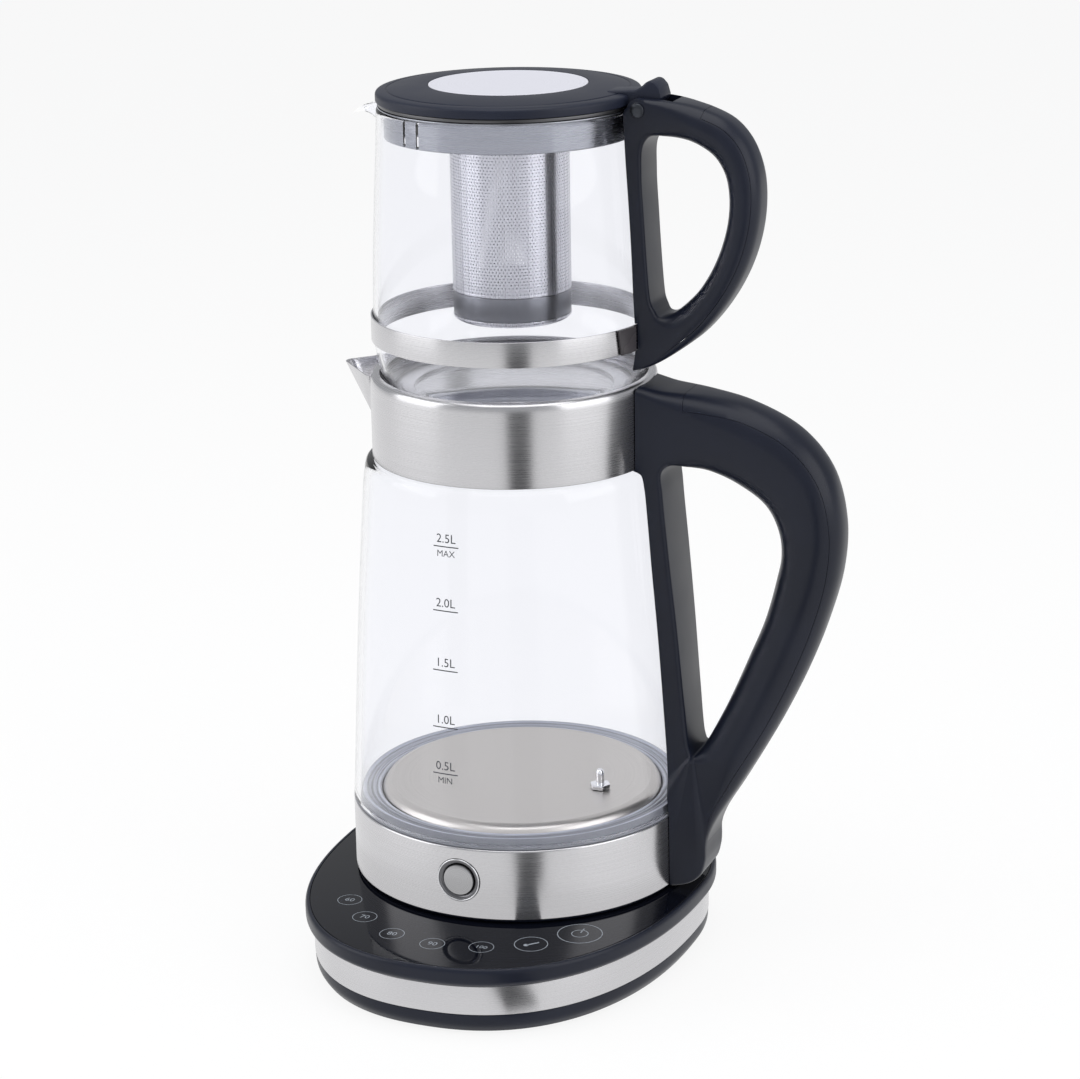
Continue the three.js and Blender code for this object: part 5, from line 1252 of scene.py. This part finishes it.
class TEAMAKER_OT_infuser(bpy.types.Operator):
    """Make the infuser's ring with its slits, its perforated tube and its cap"""

    bl_idname = "teamaker.infuser"
    bl_label = "Infuser"

    def execute(self, context):
        z0, top = span("infuser_ring")
        mouth = low("teapot_glass") + POT_HEIGHT
        ring = lathe("infuser_ring_cup", [
            (28.7, z0, 0.2), (61.2, z0, 0.8), (61.2, mouth + 0.3, 0.3), (64.2, mouth + 0.3, 0.25), (64.2, top, 0.25),
            (60.5, top, 0.4), (60.5, z0 + 0.7, 0.6), (28.7, z0 + 0.7, 0.2)], 0.3)
        slit = [(57, z0 - 1), (70, z0 - 1), (70, mouth - 2), (57, mouth - 2)]
        window = [(42, z0 - 1), (57.5, z0 - 1), (57.5, z0 + 1.5), (42, z0 + 1.5)]
        for plan, half_width, bearings in ((slit, 0.9, SLIT_BEARINGS), (window, 14, WINDOW_BEARINGS)):
            ring = cut(ring, *(turned(slab("opening", plan, half_width), bearing) for bearing in bearings))
        piece(ring, "infuser", "ring_steel", "infuser_ring")

        t0, t1 = span("infuser_tube")
        wall = t0 + 1.2, t1 - TUBE_LIP
        piece(perforated("infuser_mesh_wall", TUBE, 0.4, *wall, sizes().hole_pitch / MM, sizes().hole_share),
              "infuser", "mesh_steel", "infuser_tube")
        piece(lathe("infuser_tube_lip", [
            (TUBE_INSIDE, wall[1]), (TUBE, wall[1]), (TUBE, t1 - 0.7, 0.6), (33, t1 - 0.7), (33, t1),
            (TUBE_INSIDE, t1, 0.5)], 0.2), "infuser", "mesh_steel", "infuser_tube")
        piece(lathe("infuser_tube_foot", [
            (TUBE_INSIDE, t0), (TUBE + 0.05, t0), (TUBE + 0.05, wall[0]), (TUBE_INSIDE, wall[0])], 0.15),
            "infuser", "mesh_steel", "infuser_tube")
        c0, seam = low("infuser_cap"), t0 - GAP
        piece(lathe("infuser_cap_cup", [
            (0, c0, 0), (26.9, c0, 1.2), (TUBE, c0 + 1.7, 1.0), (TUBE, c0 + 3.0, 0.2), (28.4, c0 + 3.0, 0.1),
            (28.4, t0 + 4, 0.2), (27.7, t0 + 4, 0.2), (27.7, c0 + 2.5, 1), (26.9, c0 + 0.8, 0.6), (0, c0 + 0.8, 0)],
            0.3), "infuser", "mesh_steel", "infuser_cap")
        piece(lathe("infuser_cap_sleeve", [
            (28.5, c0 + 3.2, 0.1), (29.2, c0 + 3.2, 0.2), (29.2, seam, 0.3), (28.5, seam, 0.1)], 0.2), "infuser",
            "sleeve", "infuser_cap")
        return {"FINISHED"}


# Stage


CAMERA_PLACE, CAMERA_ANGLES = (0.5665, -1.3997, 0.6823), (21.6, 17.34, -1.03)
FOCAL_PIXELS, PHOTO_WIDTH, SENSOR_WIDTH = 3112.0, 1080.0, 36.0
LAMPS = (("left_softbox", (-1.5, -0.8, 0.9), (0, 0, 0.2), 1.5), ("right_softbox", (1.7, -0.3, 0.9), (0, 0, 0.2), 1.5),
         ("top_softbox", (0.1, -0.2, 1.7), (0, 0, 0.1), 1.4))  # name, place, what it points at, and width
LAMP_POWER = 13.0


def camera_matrix(place, azimuth, pitch, roll):
    """World matrix of a camera that looks along the azimuth (degrees from +Y towards -X), pitched down."""
    a, p, r = (math.radians(v) for v in (azimuth, pitch, roll))
    forward = Vector((-math.sin(a) * math.cos(p), math.cos(a) * math.cos(p), -math.sin(p)))
    right = Vector((math.cos(a), math.sin(a), 0.0))
    upward = right.cross(forward)
    rolled = (math.cos(r) * right + math.sin(r) * upward, -math.sin(r) * right + math.cos(r) * upward, -forward)
    matrix = Matrix(rolled).transposed().to_4x4()
    matrix.translation = Vector(place)
    return matrix


def soft_lamp(name, place, target, width):
    data = bpy.data.lights.new(name, "AREA")
    data.size = width
    data.energy = LAMP_POWER
    lamp = new_object(name, data)
    lamp.location = place
    lamp.rotation_euler = (Vector(target) - Vector(place)).to_track_quat("-Z", "Y").to_euler()


def stage_sheet(name, points, faces, material, mirrors_only=True):
    """A flat sheet of the stage in metres. For mirrors only, it is hidden from all but mirror rays."""
    mesh = bpy.data.meshes.new(name)
    mesh.from_pydata(points, [], faces)
    mesh.materials.append(material)
    sheet = new_object(name, mesh)
    if mirrors_only:
        sheet.visible_camera = sheet.visible_diffuse = sheet.visible_shadow = sheet.visible_transmission = False


def blended(tree, share, first, second, end="Material Output"):
    """Ends a node tree in a blend of two shaders."""
    mix = added(tree, "MixShader", {0: share, 1: first.outputs[0], 2: second.outputs[0]})
    filled(tree, tree.nodes[end], {"Surface": mix.outputs[0]})


def either(tree, first, second):
    """The greater of two values."""
    return added(tree, "Math", {0: first, 1: second}, operation="MAXIMUM").outputs[0]


def deck_light(start, end):
    """A white sheet just over the base that only mirrors see, and only from above: it keeps the dark deck out of
    the steel. It leaves a gap between two bearings in degrees, for the dark card's reflection."""
    material, tree = new_material("deck_light_white")
    blended(tree, added(tree, "NewGeometry").outputs["Backfacing"], added(tree, "Emission", {"Strength": 0.85}),
            added(tree, "BsdfTransparent"))
    steps = 720
    turn = np.linspace(0, 2 * np.pi, steps + 1)
    x, y = outline(0.0, turn)
    bearing = np.arctan2(y, x)
    z = np.full(len(turn), high("base_deck") + 0.8)
    ring = np.column_stack([(RING + 1) * np.cos(bearing), (RING + 1) * np.sin(bearing), z])
    points = np.vstack([ring, np.column_stack([x, y, z])]) * MM
    faces = [(k, k + steps + 1, k + steps + 2, k + 1) for k in range(steps)
             if not start < math.degrees(bearing[k]) < end]
    stage_sheet("deck_light", points.tolist(), faces, material)


def dark_card(degrees):
    """A black card that only mirrors see, on the floor in front of the object at a bearing. It widens outwards."""
    along, across = directions(degrees)
    plan = [distance * along + side * across for distance, side in ((0.155, -0.014), (4.0, -0.7), (4.0, 0.7),
                                                                    (0.155, 0.014))]
    material = dressed(new_material("dark_card_black")[0], {"Base Color": (0.02, 0.02, 0.022, 1.0), "Roughness": 0.9})
    stage_sheet("dark_card", [(float(x), float(y), 0.0006) for x, y in plan], [(0, 1, 2, 3)], material)


def floor_material(colour, keep):
    """Rays from the camera, mirrors and glass see the plain backdrop colour, apart from the kept share of the
    lit floor, which shows the object's shadow. Other rays see the lit floor."""
    material, tree = new_material("studio_floor_white")
    dressed(material, {"Base Color": (0.93, 0.93, 0.93, 1.0), "Roughness": 0.9})
    path = added(tree, "LightPath").outputs
    seen = either(tree, path["Is Camera Ray"], either(tree, path["Is Glossy Ray"], path["Is Transmission Ray"]))
    share = added(tree, "Math", {0: seen, 1: 1.0 - keep}, operation="MULTIPLY").outputs[0]
    blended(tree, share, tree.nodes["Principled BSDF"], added(tree, "Emission", {"Color": (*colour, 1.0)}))
    return material


def studio_world():
    """Dim cool light all round, which the camera and glass see as plain white."""
    world = bpy.data.worlds.new("studio_world")
    world.use_nodes = True
    tree = world.node_tree
    light = filled(tree, tree.nodes["Background"], {"Color": (0.95, 0.965, 1.0, 1.0), "Strength": 0.5})
    path = added(tree, "LightPath").outputs
    white = added(tree, "Background", {"Color": (1, 1, 1, 1), "Strength": 1.0})
    blended(tree, either(tree, path["Is Camera Ray"], path["Is Transmission Ray"]), light, white, "World Output")
    return world


class TEAMAKER_OT_stage(bpy.types.Operator):
    """Set the camera, floor, lamps and world light"""

    bl_idname = "teamaker.stage"
    bl_label = "Studio Stage"

    def execute(self, context):
        scene = context.scene
        scene.view_settings.view_transform = "Standard"
        data = bpy.data.cameras.new("photo_camera")
        data.sensor_width = SENSOR_WIDTH
        data.lens = FOCAL_PIXELS / PHOTO_WIDTH * SENSOR_WIDTH
        data.clip_end = 50.0
        scene.camera = new_object("photo_camera", data)
        scene.camera.matrix_world = camera_matrix(CAMERA_PLACE, *CAMERA_ANGLES)
        stage_sheet("studio_floor", [(-6, -6, 0), (6, -6, 0), (6, 6, 0), (-6, 6, 0)], [(0, 1, 2, 3)],
                    floor_material(tuple(colours().backdrop), 0.12), False)
        dark_card(-65.0)
        deck_light(-71.5, -62.5)
        scene.world = studio_world()
        for lamp in LAMPS:
            soft_lamp(*lamp)
        return {"FINISHED"}


class TEAMAKER_OT_materials(bpy.types.Operator):
    """Make the materials and give them to the carried parts"""

    bl_idname = "teamaker.materials"
    bl_label = "Materials"

    def execute(self, context):
        make_materials()
        return {"FINISHED"}


class TEAMAKER_PT_panel(bpy.types.Panel):
    """Sidebar panel of the tea maker"""

    bl_idname = "TEAMAKER_PT_panel"
    bl_label = "Tea Maker"
    bl_space_type = "VIEW_3D"
    bl_region_type = "UI"
    bl_category = "Tea Maker"

    def draw(self, context):
        for group in (context.scene.tea_maker_sizes, context.scene.tea_maker_colours):
            for name in group.__annotations__:
                self.layout.prop(group, name)
        for operator in OPERATORS:
            self.layout.operator(operator.bl_idname)


OPERATORS = (
    TEAMAKER_OT_stage,
    TEAMAKER_OT_materials,
    TEAMAKER_OT_base_cover,
    TEAMAKER_OT_base_top,
    TEAMAKER_OT_keys,
    TEAMAKER_OT_kettle_glass,
    TEAMAKER_OT_marks,
    TEAMAKER_OT_kettle_steel,
    TEAMAKER_OT_spout,
    TEAMAKER_OT_heater,
    TEAMAKER_OT_button,
    TEAMAKER_OT_kettle_handle,
    TEAMAKER_OT_teapot_glass,
    TEAMAKER_OT_teapot_band,
    TEAMAKER_OT_teapot_handle,
    TEAMAKER_OT_lid,
    TEAMAKER_OT_infuser,
)
CLASSES = (TeaMakerSizes, TeaMakerColours, *OPERATORS, TEAMAKER_PT_panel)


def register():
    for cls in CLASSES:
        bpy.utils.register_class(cls)
    bpy.types.Scene.tea_maker_sizes = bpy.props.PointerProperty(type=TeaMakerSizes)
    bpy.types.Scene.tea_maker_colours = bpy.props.PointerProperty(type=TeaMakerColours)


def unregister():
    del bpy.types.Scene.tea_maker_colours
    del bpy.types.Scene.tea_maker_sizes
    for cls in reversed(CLASSES):
        bpy.utils.unregister_class(cls)


def main():
    register()
    for operator in OPERATORS:
        group, action = operator.bl_idname.split(".")
        getattr(getattr(bpy.ops, group), action)()


if __name__ == "__main__":
    main()
